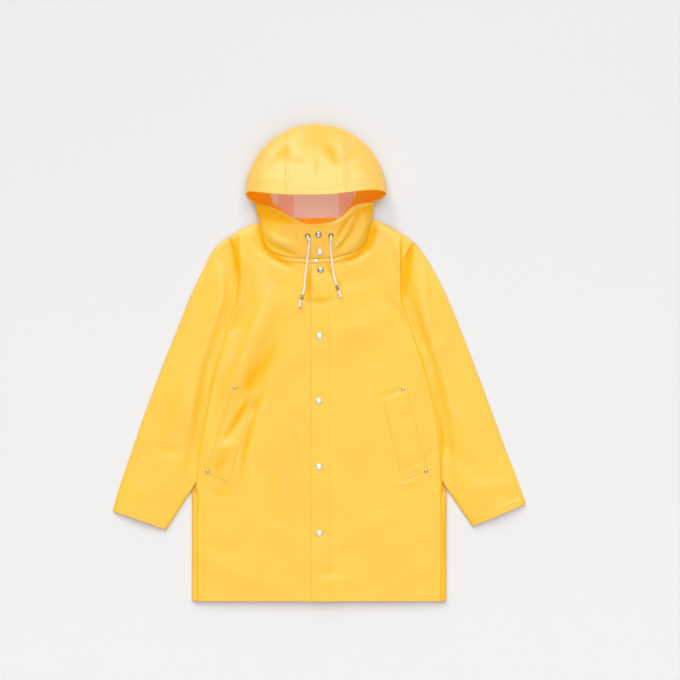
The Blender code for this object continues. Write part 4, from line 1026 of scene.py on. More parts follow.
def back():
    sheet = Sheet("back_panel")
    start = SIDE_OUT - SIDE_ROLL
    full = start + math.pi * SIDE_ROLL + (start - SIDE_SEAM)
    flat = np.linspace(0, 1, 15)
    curl = np.linspace(0, 1, 19)[1:]
    tops = np.array([(-205, 288), (-172, 306.5), *[(s.x, s.y) for s in BACK_NECK], (170, 306.5), (216, 276)], float)
    ys = np.concatenate([np.linspace(HEM_Y, -330, 40), np.linspace(-330, -290, 22)[1:], np.linspace(-290, 150, 60)[1:]])
    rows = []
    for y in ys:
        grow = float(np.clip((ROLL_FROM - y) / (ROLL_FROM - ROLL_FULL), 0, 1))
        row = []
        for sign, edge in ((-1, edge_left), (1, edge_right)):
            reach = abs(float(edge(y))) - 3.0
            base = reach + (start - 4 - reach) * min(1.0, grow * 6)
            end = max(reach + (full - reach) * grow, base + 3.0)
            x, z = rolled(np.concatenate([base * flat[1:], base + (end - base) * curl]), start)
            # the margin sags and swells a little along the side
            over = ease((z - GROUND) / (2 * SIDE_ROLL))
            z = z - over * (0.25 + 0.45 * math.sin(y / 31.0 + sign) ** 2)
            row.append(np.stack([sign * x, np.full(len(x), y), z], 1))
        rows.append(np.concatenate([row[0][::-1], [[0, y, GROUND]], row[1]]))
    low = rows[-1]
    n, edge_count = len(low), len(curl)
    inner = np.linspace(0, len(tops) - 1, n - 2 * edge_count)
    top_x = np.interp(inner, range(len(tops)), tops[:, 0])
    top_y = np.interp(inner, range(len(tops)), tops[:, 1])
    share = (np.arange(1, edge_count + 1) / edge_count)[:, None]
    left = (tops[0] + (tops[0] - tops[1]) * 0.03 * share)[::-1]
    right = tops[-1] + (tops[-1] - tops[-2]) * 0.03 * share
    top = np.concatenate([left, np.stack([top_x, top_y], 1), right])
    for t in np.linspace(0, 1, 26)[1:]:
        rows.append(np.concatenate([low[:, :2] + (top - low[:, :2]) * t, np.full((n, 1), GROUND)], 1))
    sheet.grid(np.array(rows), flip=True)
    return sheet


# ---------------------------------------------------------------- sleeves


ring_at = {name: track(range(len(RINGS)), [getattr(r, name) for r in RINGS]) for name in Ring._fields}


def from_cuff(side, x, y):
    """Distance in plan from the cuff's edge."""
    a = RINGS[-1][:4] if side == "left" else RINGS[-1][4:8]
    ex, ey = a[2] - a[0], a[3] - a[1]
    n = np.array([-ey, ex]) / math.hypot(ex, ey)
    n = n if n[1] > 0 else -n
    return (x - a[0]) * n[0] + (y - a[1]) * n[1]


def sleeve_points(side, i, t, upper):
    left = side == "left"
    pre, sign, edge = ("l", 1, edge_left) if left else ("r", -1, edge_right)
    i, t = np.broadcast_arrays(np.asarray(i, float), np.asarray(t, float))
    ox, oy, ex, ey = (ring_at[pre + c](i) for c in ("ox", "oy", "ix", "iy"))
    wide = np.hypot(ex - ox, ey - oy)
    bow = (14 if left else 25) * ring_at["bow"](i) * np.sin(math.pi * t ** 0.7)
    x = ox + (ex - ox) * t + sign * bow
    y = oy + (ey - oy) * t
    inside = np.where(y > -300, (x - edge(y)) * sign, -99.0)
    cover = ease((inside + 38) / 22)
    on_back = ease((inside + 50) / 20)
    low = GROUND + (SLEEVE_ON_BACK - GROUND) * on_back
    from_fold = np.minimum(t, 1 - t) * wide
    free = 7.6 + (ring_at["top"](i) - 7.6) * np.sin(math.pi * t) ** 0.8
    if upper:
        free = free + SLEEVE_FULL * np.sin(math.pi * t) ** 1.4
    high = free + (SLEEVE_UNDER_FRONT - free) * cover
    if upper:
        rise = creases(SLEEVE_CREASES, x, y) * ease((-inside - 1) / 5) * ease((from_fold - 3) / 18)
        cuff = from_cuff(side, x, y)
        rise = rise + 0.45 * (1 - ease((cuff - CUFF_BAND) / 2.0)) * ease(from_fold / 8)
        high = high + held(rise, high - low - 2.2)
    middle = low + np.minimum(2.2, (high - low) / 2)
    full = np.sqrt(1 - (1 - np.minimum(from_fold / 8.0, 1.0)) ** 2)
    z = middle + (high - middle) * full if upper else middle - (middle - low) * full
    return np.stack([x, y, z], -1)


def sleeve(side):
    sheet = Sheet("sleeve_" + side)
    top_t = np.concatenate([np.linspace(0, 0.06, 12), np.linspace(0.06, 0.94, 72)[1:], np.linspace(0.94, 1, 12)[1:]])
    under_t = np.concatenate([np.linspace(1, 0.94, 8)[1:], np.linspace(0.94, 0.06, 18)[1:], np.linspace(0.06, 0, 8)[1:-1]])
    i = np.linspace(0, len(RINGS) - 1, 2000)
    mid = sleeve_points(side, i, 0.3, False)
    length = np.concatenate([[0], np.cumsum(np.linalg.norm(np.diff(mid, axis=0), axis=1))])
    places = np.concatenate([np.linspace(0, length[-1] - 22, 176), np.linspace(length[-1] - 22, length[-1], 19)[1:]])
    i = np.interp(places, length, i)[:, None]
    grid = np.concatenate([sleeve_points(side, i, top_t[None], True), sleeve_points(side, i, under_t[None], False)], 1)[::-1]
    if side == "right":
        grid = grid[:, ::-1]
    sheet.grid(grid, closed=True)
    return sheet


# ---------------------------------------------------------------- hood


def crown_points(x, angle):
    x, angle = np.broadcast_arrays(np.asarray(x, float), np.asarray(angle, float))
    c = (x - HOOD_X) / HOOD_R
    s = np.sqrt(np.maximum(0.0, 1 - c * c))
    a = np.radians(angle)
    rim_y = brow_y(x)
    out_y = HOOD_Y + HOOD_R * s
    rim_z = CORNER_Z + (BROW_Z - CORNER_Z) * s ** 0.8
    out_z = CORNER_Z + (CROWN_Z - CORNER_Z) * s ** 0.5
    front_part = angle <= 90
    y1 = rim_y + (out_y - rim_y) * np.sin(a)
    z1 = out_z + (rim_z - out_z) * (0.5 * np.cos(a) + 0.5 * (1 - np.sin(a)))
    y2 = HOOD_Y + HOOD_R * s * np.sin(a)
    inward = HOOD_R - np.hypot(x - HOOD_X, y2 - HOOD_Y)
    z2 = under_z(inward, out_z)
    y = np.where(front_part, y1, y2)
    z = np.where(front_part, z1, z2)
    dent = creases(HOOD_CREASES, x, y) * ease((y - rim_y) / 14)
    z = z + np.where(front_part, dent * np.cos(np.minimum(a, math.pi / 2)) ** 0.5, 0)
    return np.stack([x, y, z], -1)


def under_z(inward, out_z):
    u = np.clip(inward / WALL_RUN, 0, 1)
    steep = 1 - np.sqrt(np.maximum(0, 1 - (1 - u) ** 2))
    return GROUND + (out_z - GROUND) * (0.6 * (1 - u) ** 2 + 0.4 * steep)


def back_neck_y(x):
    return np.interp(x, [s.x for s in BACK_NECK], [s.y for s in BACK_NECK])


HOOD_SIDES = {}


def hood_wall(side, share, x):
    """The hood's side and back below the corners: share runs from the neck seam
    to the corner, x across it."""
    h = HOOD_SIDES[side]
    o = np.stack([np.interp(share, h["share"], h["outline"][:, k]) for k in range(3)], -1)
    y0 = h["neck"] + (HOOD_Y - h["neck"]) * share
    f = (x - h["seam"]) / (o[..., 0] - h["seam"])
    return np.stack([x, y0 + (o[..., 1] - y0) * f, under_z(np.abs(o[..., 0] - x), o[..., 2])], -1)


def hood():
    left = Sheet("hood_side_left", gap=0.1)
    right = Sheet("hood_side_right", gap=0.1)
    centre = Sheet("hood_centre", gap=0.1)
    angles = np.concatenate([np.linspace(0, 90, 64), np.linspace(90, 180, 34)[1:]])[::-1]
    strip = HOOD_X + SEAM_HALF * np.linspace(-1, 1, 51)
    rows = []
    for t in np.linspace(0, 1, 20)[:-1]:
        rows.append(np.stack([strip, back_neck_y(strip) * (1 - t) + HOOD_Y * t, np.full(len(strip), GROUND)], 1))
    for a in angles:
        rows.append(crown_points(strip, a))
    centre.grid(np.array(rows), flip=True)

    for sheet, side, sign, q0, wall, corner in (
        (left, "left", -1, 0, WALL_LEFT, CORNER_LEFT),
        (right, "right", 1, LAST, WALL_RIGHT, CORNER_RIGHT),
    ):
        seam_x = HOOD_X + sign * SEAM_HALF
        f = np.sin(np.linspace(0, 1, 44) * math.pi / 2) ** 1.15
        f[-1] = 1.0
        columns = seam_x + (corner.x - seam_x) * f
        rows = []
        for a in angles:
            row = crown_points(columns, a)
            row[-1] = (corner.x, corner.y, corner.z)
            rows.append(row)
        rows = np.array(rows)
        under = rows[0]
        sheet.grid(rows, flip=sign > 0)
        rise = np.linspace(0, 1, 31)
        low = collar(q0, rise)
        points = [tuple(low[-1]), *[tuple(w) for w in wall], tuple(corner)]
        k = np.arange(len(points))
        fine = np.stack([track(k, [p[c] for p in points])(np.linspace(0, len(points) - 1, 21)) for c in range(3)], 1)[1:]
        outline = np.concatenate([low, fine])
        share = np.concatenate([rise * 0.5, 0.5 + np.linspace(0, 1, 21)[1:] * 0.5])
        neck_seam = float(back_neck_y(seam_x))
        HOOD_SIDES[side] = {"outline": outline, "share": share, "neck": neck_seam, "seam": seam_x}
        rows = []
        for o, j in zip(outline[:-1], share[:-1]):
            y0 = neck_seam + (HOOD_Y - neck_seam) * j
            x = seam_x + (o[0] - seam_x) * f
            y = y0 + (o[1] - y0) * f
            if j == 0:
                y = np.where(f < 1, back_neck_y(x), o[1])
            row = np.stack([x, y, under_z(np.abs(o[0] - x), o[2])], 1)
            row[-1] = o
            rows.append(row)
        rows.append(under)
        sheet.grid(np.array(rows), flip=sign > 0)
        # collar front
        qs = 7 - np.linspace(0, 1, 104) * 7.0
        q = (qs if sign < 0 else LAST - qs)[::-1][None]
        grid = collar(q, rise[:, None])
        relief = creases(COLLAR_CREASES, grid[..., 0], grid[..., 1])
        grid[..., 2] += relief * ease(rise / 0.12)[:, None] * ease(q / 0.7) * ease((LAST - q) / 0.7)
        for s in STUDS[:2]:
            r = np.hypot(grid[..., 0] - s.x, grid[..., 1] - s.y)
            grid[..., 2] -= 0.8 * np.exp(-(r / 14) ** 2)
        if sign > 0:
            grid[..., 2] += lift(grid[..., 0])
        sheet.grid(grid, flip=sign > 0)
    return centre, left, right


# ---------------------------------------------------------------- the cloth

fronts = {side: front(side) for side in ("left", "right")}
back_sheet = back()
hood_centre, hood_left, hood_right = hood()
sleeves = {side: sleeve(side) for side in ("left", "right")}
main_sheets = [fronts["left"], fronts["right"], back_sheet, hood_centre, hood_left, hood_right,
               sleeves["left"], sleeves["right"]]
for s in main_sheets:
    s.weld()
shared_normals(main_sheets)

made, declared = {}, {}


def stands_for(obj, node):
    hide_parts(node)
    made[node] = obj
    return obj


FAR = 99.0


def no_lines(sheet):
    return {"line_a": np.full(len(sheet.points), FAR), "line_b": np.full(len(sheet.points), FAR), "fold": folds(sheet)}


for side in ("left", "right"):
    sheet = fronts[side]
    x, y = sheet.points[:, 0], sheet.points[:, 1]
    lines = no_lines(sheet)
    lines["line_a"] = y - (HEM_Y + HEM_BAND)
    if side == "right":
        lines["line_b"] = x - STITCH_X
    # painted shade in troughs deeper than the cloth's shape holds, plus the painted shade and highlight of SHADES
    lines["fold"] += 0.15 * np.maximum(-creases(BODY_CREASES, x, y) - 2.5, 0) + creases(SHADES, x, y)
    fold = 0.8 * (1 - ease((y - HEM_Y - HEM_BAND) / 1.5))
    stands_for(shell(sheet, [coat, cotton], lines, hem=fold), "front_" + side)

    sheet = sleeves[side]
    lines = no_lines(sheet)
    x, y = sheet.points[:, 0], sheet.points[:, 1]
    cuff = from_cuff(side, x, y)
    lines["line_a"] = cuff - CUFF_BAND
    # painted shade in troughs deeper than the cloth's shape holds, plus the painted shade and highlight of SHADES, on
    # the upper faces
    lines["fold"] += (0.3 * np.maximum(-creases(SLEEVE_CREASES, x, y) - 2.5, 0) + creases(SHADES, x, y)) * (sheet.normals[:, 2] > 0)
    fold = 0.7 * (1 - ease((cuff - CUFF_BAND) / 1.5))
    stands_for(shell(sheet, [coat, cotton], lines, hem=fold), "sleeve_" + side)

lines = no_lines(back_sheet)
x, y = back_sheet.points[:, 0], back_sheet.points[:, 1]
lines["line_a"] = y - (HEM_Y + HEM_BAND)
# painted shade along the rolled side strips, twice as deep on the right
lines["fold"] = (np.where(x > 0, 2.0, 1.0) * ease((np.abs(x) - SIDE_SEAM) / 3) * ease((ROLL_FROM - 8 - y) / 20)
                 * (0.8 + 0.2 * np.sin(y / 37)))
stands_for(shell(back_sheet, [coat, cotton], lines,
                 inner_look=lambda c: np.where(np.abs(c[:, 0]) > 262, 0, 1),
                 hem=0.8 * (1 - ease((back_sheet.points[:, 1] - HEM_Y - HEM_BAND) / 1.5))), "back_panel")

for sheet, name in ((hood_centre, "hood_centre"), (hood_left, "hood_side_left"), (hood_right, "hood_side_right")):
    p = sheet.points
    top = (p[:, 1] > brow_y(p[:, 0]) + 1) & (sheet.normals[:, 2] > -0.1)
    lines = no_lines(sheet)
    lines["line_a"] = np.where(top, p[:, 1] - brow_y(p[:, 0]) - BROW_BAND, FAR)
    near_seam = np.minimum(np.abs(p[:, 0] - HOOD_X + SEAM_HALF), np.abs(p[:, 0] - HOOD_X - SEAM_HALF))
    lines["line_b"] = near_seam - TOPSTITCH
    above = ease((p[:, 1] - brow_y(p[:, 0]) + 4) / 8)
    # painted shade and highlight from HOOD_SHADES and COLLAR_SHADES
    lines["fold"] += np.where(sheet.normals[:, 2] > 0, creases(HOOD_SHADES, p[:, 0], p[:, 1]) * above
                              + creases(COLLAR_SHADES, p[:, 0], p[:, 1]) * (1 - above), 0)
    # painted sheen on the hood's upper faces
    lines["pale"] = 0.42 * above * ease((sheet.normals[:, 2] + 0.3) / 0.6)
    stands_for(shell(sheet, [coat, cotton], lines), name)

# ---------------------------------------------------------------- bands, facings, welts


def trim_piece(sheet, grid, materials, node, flip=False, shaded=False):
    sheet.grid(grid, flip=flip)
    sheet.weld()
    shared_normals([sheet])
    lines = None
    if shaded:
        lines = no_lines(sheet)
        # painted shade and highlight of SHADES on welts and neck bands
        lines["fold"] = creases(SHADES, sheet.points[:, 0], sheet.points[:, 1])
    return stands_for(shell(sheet, materials, lines), node) if node else None


# facing round the inside of the face opening
for side, sign in (("left", -1), ("right", 1)):
    shares = np.linspace(FACINGS[0].share, 0.988, 30)
    near = np.interp(shares, [f.share for f in FACINGS], [getattr(f, side) for f in FACINGS])
    h = HOOD_SIDES[side]
    far = np.interp(shares, h["share"], h["outline"][:, 0])
    run = np.linspace(0, 1, 34) ** 0.8
    stop = np.where(shares < 0.5, 0.93, 0.992)
    x = near[:, None] + (far - near)[:, None] * run[None] * stop[:, None]
    grid = hood_wall(side, np.broadcast_to(shares[:, None], x.shape), x)
    above = [crown_points(x[-1], a) for a in np.linspace(177, 158, 9)]
    grid = moved_out(np.concatenate([grid, above]), 1.75 * sign)
    sheet = Sheet("facing_" + side, 1.0)
    trim_piece(sheet, grid, [coat_painted_shade, cotton], "facing_" + side, flip=sign < 0)

grid = np.array([crown_points(np.linspace(-148, 134, 120), a) for a in np.linspace(10.5, 0.7, 13)])
trim_piece(Sheet("facing_brow", 1.0), moved_out(grid, 1.8), [coat_painted_shade, cotton], "facing_brow")

x, y = np.meshgrid(np.linspace(-88, 72, 60), np.linspace(299, 333, 14))
grid = np.stack([x, y - np.abs(x + 7) * 0.012 + 0.5 * np.sin(x / 17), np.full(x.shape, GROUND + 0.6 + 0.2 + 0.175)], -1)
trim_piece(Sheet("back_neck_facing", 0.35), grid, [coat_painted_shade, cotton], "back_neck_facing")

# tapes over the hood's seams, on the inside
for side, sign in (("left", -1), ("right", 1)):
    x = HOOD_X + sign * SEAM_HALF + np.linspace(-18, 18, 10)
    rows = [np.stack([x, np.full(len(x), 336 * (1 - t) + HOOD_Y * t), np.full(len(x), GROUND)], 1)
            for t in np.linspace(0, 1, 16)[:-1]]
    rows += [crown_points(x, a) for a in np.concatenate([np.linspace(180, 90, 30)[:-1], np.linspace(90, 3, 40)])]
    sheet = Sheet("seam_tape_" + side, 0.3)
    sheet.grid(moved_out(np.array(rows), 0.85)).weld()
    shared_normals([sheet])
    shell(sheet, [tape, tape], name="seam_tape_" + side)

panels = Under([fronts["left"], fronts["right"], hood_left, hood_right])
single = {"left": Under([fronts["left"]]), "right": Under([fronts["right"]])}

bands = {}
for side, q0, q1 in (("left", 2.2, 5.94), ("right", 6.0, 10.2)):
    q = np.linspace(q0, q1, 76)
    w = np.linspace(11.0, 1.6, 13)
    p = np.stack([neck_at["nx"](q), neck_at["ny"](q)], -1)
    e = np.stack([neck_at["nx"](q + 0.1) - neck_at["nx"](q - 0.1), neck_at["ny"](q + 0.1) - neck_at["ny"](q - 0.1)], -1)
    out = np.stack([e[:, 1], -e[:, 0]], -1) / np.hypot(e[:, 0], e[:, 1])[:, None]
    place = p[None] + out[None] * w[:, None, None]
    z, n = single[side].many(place[..., 0], place[..., 1])
    puff = 1.2 * np.sin(np.pi * (w - 1.6) / 9.4)[:, None] ** 0.9 * (1 - 0.75 * ease((np.abs(p[:, 0] - HOOD_X) - 45) / 30))
    grid = np.concatenate([place, z[..., None]], -1) + n * (CLOTH / 2 + 0.3 + 0.45 + puff)[..., None]
    bands[side] = Sheet("neck_band_" + side, 0.9)
    trim_piece(bands[side], grid, [coat, cotton], "neck_band_" + side, shaded=True)

welts = {}
for w in WELTS:
    side = w.name.rsplit("_", 1)[1]
    u, v = np.meshgrid(two_ends(34, 0.5), two_ends(96, 0.3))
    a, b, c, d = (np.array(k, float) for k in ((w.ax, w.ay), (w.bx, w.by), (w.cx, w.cy), (w.dx, w.dy)))
    place = (a * (1 - u[..., None]) + b * u[..., None]) * (1 - v[..., None]) + (d * (1 - u[..., None]) + c * u[..., None]) * v[..., None]
    z, n = single[side].many(place[..., 0], place[..., 1])
    ends = ease(np.minimum(v, 1 - v) / 0.10)
    mouth = (1 - ease(u / 0.30)) * ends * (1.5 + 0.5 * np.sin(v * 7))
    puff = 0.9 * np.sin(np.pi * u) * ends
    over = CLOTH / 2 + 0.2 + 0.6 + mouth + puff
    grid = np.concatenate([place, z[..., None]], -1) + n * over[..., None]
    welts[side] = Sheet(w.name, 1.2)
    trim_piece(welts[side], grid, [coat, cotton], w.name, flip=side == "left", shaded=True)
    welts[side].plan = (a, b, c, d)

# ---------------------------------------------------------------- stitches


def capsule(sides=6):
    """A short stitch along X, 1 long and 2 across, as rings of points."""
    rings = [(-0.5, 0.0), (-0.42, 0.72), (0.0, 1.0), (0.42, 0.72), (0.5, 0.0)]
    verts, faces = [], []
    starts = []
    for x, r in rings:
        starts.append(len(verts))
        if r == 0:
            verts.append((x, 0, 0))
        else:
            verts += [(x, r * math.cos(2 * math.pi * k / sides), r * math.sin(2 * math.pi * k / sides)) for k in range(sides)]
    for k in range(sides):
        j = (k + 1) % sides
        faces.append((starts[0], starts[1] + j, starts[1] + k, starts[1] + k))
        for m in (1, 2):
            faces.append((starts[m] + k, starts[m] + j, starts[m + 1] + j, starts[m + 1] + k))
        faces.append((starts[3] + k, starts[3] + j, starts[4], starts[4]))
    return np.array(verts), np.array(faces)


def stitches(name, runs, under, above, pitch=4.0, long=2.9, thick=0.36):
    """Rows of stitches along lines in plan, lying on a sheet's outer face."""
    base, faces = capsule()
    verts, quads = [], []
    for run in runs:
        run = np.asarray(run, float)
        length = np.concatenate([[0], np.cumsum(np.hypot(*np.diff(run, axis=0).T))])
        for s in np.arange(pitch / 2, length[-1] - pitch / 2, pitch):
            p = np.array([np.interp(s, length, run[:, k]) for k in (0, 1)])
            q = np.array([np.interp(s + 1.2, length, run[:, k]) for k in (0, 1)])
            found, ahead = under.at(*p), under.at(*q)
            if not found or not ahead or abs(ahead[0] - found[0]) > 3:
                continue
            n = found[1]
            t = np.array([*(q - p), ahead[0] - found[0]])
            t -= n * np.dot(t, n)
            t /= np.linalg.norm(t)
            frame = np.stack([t * long, np.cross(n, t) * thick, n * thick], 0)
            place = np.array([*p, found[0]]) + n * above
            quads.append(faces + sum(len(v) for v in verts))
            verts.append(place + base @ frame)
    obj = mesh_object(name, np.concatenate(verts), np.concatenate(quads), [thread])
    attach(obj, "root")
    return obj


def straight(a, b, n=60):
    return np.stack([np.linspace(a[0], b[0], n), np.linspace(a[1], b[1], n)], 1)


on_top = CLOTH / 2 + 0.02
hem_y = HEM_Y + HEM_BAND
seams = {"front_right": [], "front_left": [], "sleeve_left": [], "sleeve_right": []}
seams["front_right"].append(stitches("stitches_placket", [straight((STITCH_X, HEM_Y + 2), (STITCH_X, 228))], single["right"], on_top))
seams["front_right"].append(stitches("stitches_hem_right", [straight((PLACKET_TOP_X + 3, hem_y), (279, hem_y))], single["right"], on_top))
seams["front_left"].append(stitches("stitches_hem_left", [straight((-279, hem_y), (PLACKET_TOP_X - 2, hem_y))], single["left"], on_top))
for side in ("left", "right"):
    a = RINGS[-1][:4] if side == "left" else RINGS[-1][4:8]
    b = [getattr(RINGS[-2], ("l" if side == "left" else "r") + c) for c in ("ox", "oy", "ix", "iy")]
    back_off = CUFF_BAND / 54.0
    start = np.array(a[:2]) + (np.array(b[:2]) - np.array(a[:2])) * back_off
    end = np.array(a[2:]) + (np.array(b[2:]) - np.array(a[2:])) * back_off
    seams["sleeve_" + side].append(stitches("stitches_cuff_" + side, [straight(start + (end - start) * 0.02, start + (end - start) * 0.98)],
                                            Under([sleeves[side]]), on_top))
hoods = Under([hood_centre, hood_left, hood_right])
brow = np.linspace(-156, 142, 120)
runs = [np.stack([brow, brow_y(brow) + BROW_BAND], 1)]
for sign in (-1, 1):
    seam_x = HOOD_X + sign * SEAM_HALF
    for off in (-TOPSTITCH, TOPSTITCH):
        runs.append(straight((seam_x + off, 404), (seam_x + off, HOOD_Y + HOOD_R * math.sqrt(1 - (SEAM_HALF / HOOD_R) ** 2) - 12)))
hood_stitches = stitches("stitches_hood", runs, hoods, on_top)

for side in ("left", "right"):
    a, b, c, d = welts[side].plan

    def at(u, v):
        return (a * (1 - u) + b * u) * (1 - v) + (d * (1 - u) + c * u) * v

    runs = [straight(at(0.06, 0.012), at(0.06, 0.988)), straight(at(0.95, 0.012), at(0.95, 0.988)),
            straight(at(0.06, 0.013), at(0.95, 0.013)), straight(at(0.06, 0.045), at(0.95, 0.045)),
            straight(at(0.06, 0.987), at(0.95, 0.987)), straight(at(0.06, 0.955), at(0.95, 0.955))]
    stitches("stitches_pocket_" + side, runs, Under([welts[side]]), 0.62, pitch=3.6, long=2.6, thick=0.32)

for side, q0, q1 in (("left", 2.3, 5.88), ("right", 6.06, 10.1)):
    q = np.linspace(q0, q1, 80)
    p = np.stack([neck_at["nx"](q), neck_at["ny"](q)], -1)
    e = np.stack([neck_at["nx"](q + 0.1) - neck_at["nx"](q - 0.1), neck_at["ny"](q + 0.1) - neck_at["ny"](q - 0.1)], -1)
    out = np.stack([e[:, 1], -e[:, 0]], -1) / np.hypot(e[:, 0], e[:, 1])[:, None]
    stitches("stitches_neck_" + side, [p + out * 3.3, p + out * 9.4], Under([bands[side]]), 0.47,
                                   pitch=3.6, long=2.6, thick=0.30)

# ---------------------------------------------------------------- hardware


def turned(name, profile, place, normal, materials, looks=None, steps=40, wobble=None):
    """Solid of revolution of (radius, height) from its foot to its top, on a place."""
    up = Vector(normal).normalized()
    turn = np.array(Vector((0, 0, 1)).rotation_difference(up).to_matrix())
    verts, faces, mats, starts = [], [], [], []
    for r, h in profile:
        starts.append(len(verts))
        if r < 1e-6:
            verts.append((0, 0, h))
        else:
            for k in range(steps):
                a = 2 * math.pi * k / steps
                rr = r * (1 if wobble is None else wobble(a, h))
                verts.append((rr * math.cos(a), rr * math.sin(a), h))
    for m in range(len(profile) - 1):
        low, high = profile[m][0] < 1e-6, profile[m + 1][0] < 1e-6
        for k in range(steps):
            j = (k + 1) % steps
            if low:
                faces.append((starts[m], starts[m + 1] + j, starts[m + 1] + k))
            elif high:
                faces.append((starts[m] + k, starts[m] + j, starts[m + 1]))
            else:
                faces.append((starts[m] + k, starts[m] + j, starts[m + 1] + j, starts[m + 1] + k))
            mats.append(0 if looks is None else looks[m])
    verts = np.array(verts) @ turn.T + np.asarray(place)
    obj = mesh_object(name, verts, faces, materials, mats)
    obj.data.set_sharp_from_angle(angle=math.radians(52))
    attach(obj, "root")
    return obj


def cap_profile(r, h):
    """Foot, rolled rim, groove and dome of a press stud's cap."""
    out = [(0, 0), (r * 0.96, 0), (r, h * 0.08), (r, h * 0.26), (r * 0.975, h * 0.34), (r * 0.93, h * 0.37),
           (r * 0.895, h * 0.335), (r * 0.87, h * 0.36)]
    for k in range(1, 9):
        a = math.radians(90 * k / 8)
        out.append((r * 0.87 * math.cos(a) if k < 8 else 0, h * 0.36 + h * 0.64 * math.sin(a) ** 0.9))
    return out


for s in STUDS:
    if s.name == "snap_neck":
        under, above = Under([bands["right"]]), 0.45 + 0.05
    elif s.name.startswith("rivet"):
        under, above = Under([welts[s.name.split("_")[1]]]), 0.6 + 0.05
    else:
        under, above = panels, CLOTH / 2 + 0.05
    z, n = under.at(s.x, s.y)
    r, h = s.size / 2, s.tall
    profile = cap_profile(r, h)
    # each cap's foot, rim and groove take the darker metal as painted shade
    looks = [1] * 7 + [0] * 8
    cap = nickel_painted_reflection if s.name.startswith("snap") and s.name not in ("snap_1", "snap_3") else nickel
    stands_for(turned(s.name + "_cap", profile, np.array([s.x, s.y, z]) + n * above, n, [cap, nickel if cap is nickel_painted_reflection else nickel_painted_shade], looks),
               s.name)


def smooth_route(points, step):
    """Even points on a smooth curve through the given ones."""
    p = [np.array(q, float) for q in points]
    p = [2 * p[0] - p[1], *p, 2 * p[-1] - p[-2]]
    fine = []
    for a, b, c, d in zip(p[:-3], p[1:-2], p[2:-1], p[3:]):
        for t in np.linspace(0, 1, 24, endpoint=False):
            fine.append(0.5 * (2 * b + (c - a) * t + (2 * a - 5 * b + 4 * c - d) * t ** 2
                               + (3 * b - 3 * c + d - a) * t ** 3))
    fine.append(p[-2])
    fine = np.array(fine)
    long = np.concatenate([[0], np.cumsum(np.linalg.norm(np.diff(fine, axis=0), axis=1))])
    at = np.linspace(0, long[-1], int(round(long[-1] / step)) + 1)
    return np.stack([np.interp(at, long, fine[:, k]) for k in range(3)], 1), at


cord_bed = Under([fronts["left"], fronts["right"], hood_left, hood_right, bands["left"], bands["right"]])


def cord_route(side):
    """Drawstring end: out of its eyelet, then down over collar and front."""
    plan = CORDS[side]
    z0, n0 = panels.at(*plan[0])
    start = np.array([*plan[0], z0]) + n0 * CLOTH / 2
    down = np.array([plan[1][0] - plan[0][0], plan[1][1] - plan[0][1], 0.0])
    down -= n0 * np.dot(down, n0)
    down /= np.linalg.norm(down)
    route = [start + n0 * 0.6, start + n0 * 2.8, start + n0 * 5.6 + down * 0.7, start + n0 * 7.4 + down * 3.8, start + n0 * 6.8 + down * 8.2]
    rest = CORD_D / 2 + CLOTH / 2 + 0.25
    for k, (x, y) in enumerate(plan[1:]):
        z, n = cord_bed.at(x, y)
        last = max(0, k + 4 - len(plan)) / 2
        route.append(np.array([x, y, z + (rest + KNOT_RAISE * last) / n[2]]))
    line, at = smooth_route(route, 1.5)
    # it lies on whatever rises between those places
    need = np.array([f[0] + rest / f[1][2] if (f := cord_bed.at(p[0], p[1])) else -9 for p in line])
    short = np.where(at > 14, np.maximum(need - line[:, 2], 0), 0)
    wide = np.array([max(short[max(0, i - 6):i + 7]) for i in range(len(short))])
    kernel = np.exp(-(np.arange(-8, 9) / 4.0) ** 2)
    raised = np.convolve(np.pad(wide, 8, mode="edge"), kernel / kernel.sum(), mode="valid")
    line[:, 2] += np.where(at > 14, raised, raised * ease(at / 14))
    return line


def rope(name, line, radius, look, steps=21, pitch=13.0):
    """Three-strand cord as a closed tube along its line."""
    t = np.gradient(line, axis=0)
    t /= np.linalg.norm(t, axis=1)[:, None]
    n = np.cross(t[0], (0, 0, 1))
    n = n / np.linalg.norm(n) if np.linalg.norm(n) > 0.1 else np.array([1.0, 0, 0])
    long = np.concatenate([[0], np.cumsum(np.linalg.norm(np.diff(line, axis=0), axis=1))])
    rings = []
    for p, d, s in zip(line, t, long):
        n = n - d * np.dot(n, d)
        n /= np.linalg.norm(n)
        b = np.cross(d, n)
        a = 2 * np.pi * np.arange(steps) / steps
        r = radius * (0.90 + 0.10 * np.abs(np.cos(1.5 * (a - 2 * np.pi * s / pitch))) ** 0.7)
        rings.append(p + (np.cos(a) * r)[:, None] * n + (np.sin(a) * r)[:, None] * b)
    verts = np.concatenate(rings + [line[:1], line[-1:]])
    count = len(line)
    i, k = np.meshgrid(np.arange(count - 1), np.arange(steps), indexing="ij")
    j = (k + 1) % steps
    quads = np.stack([i * steps + k, i * steps + j, (i + 1) * steps + j, (i + 1) * steps + k], -1).reshape(-1, 4)
    k = np.arange(steps)
    j = (k + 1) % steps
    first, last = count * steps, count * steps + 1
    caps = np.concatenate([np.stack([j, k, np.full(steps, first), np.full(steps, first)], 1),
                           np.stack([(count - 1) * steps + k, (count - 1) * steps + j, np.full(steps, last), np.full(steps, last)], 1)])
    obj = mesh_object(name, verts, np.concatenate([quads, caps]), [look])
    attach(obj, "root")
    return obj


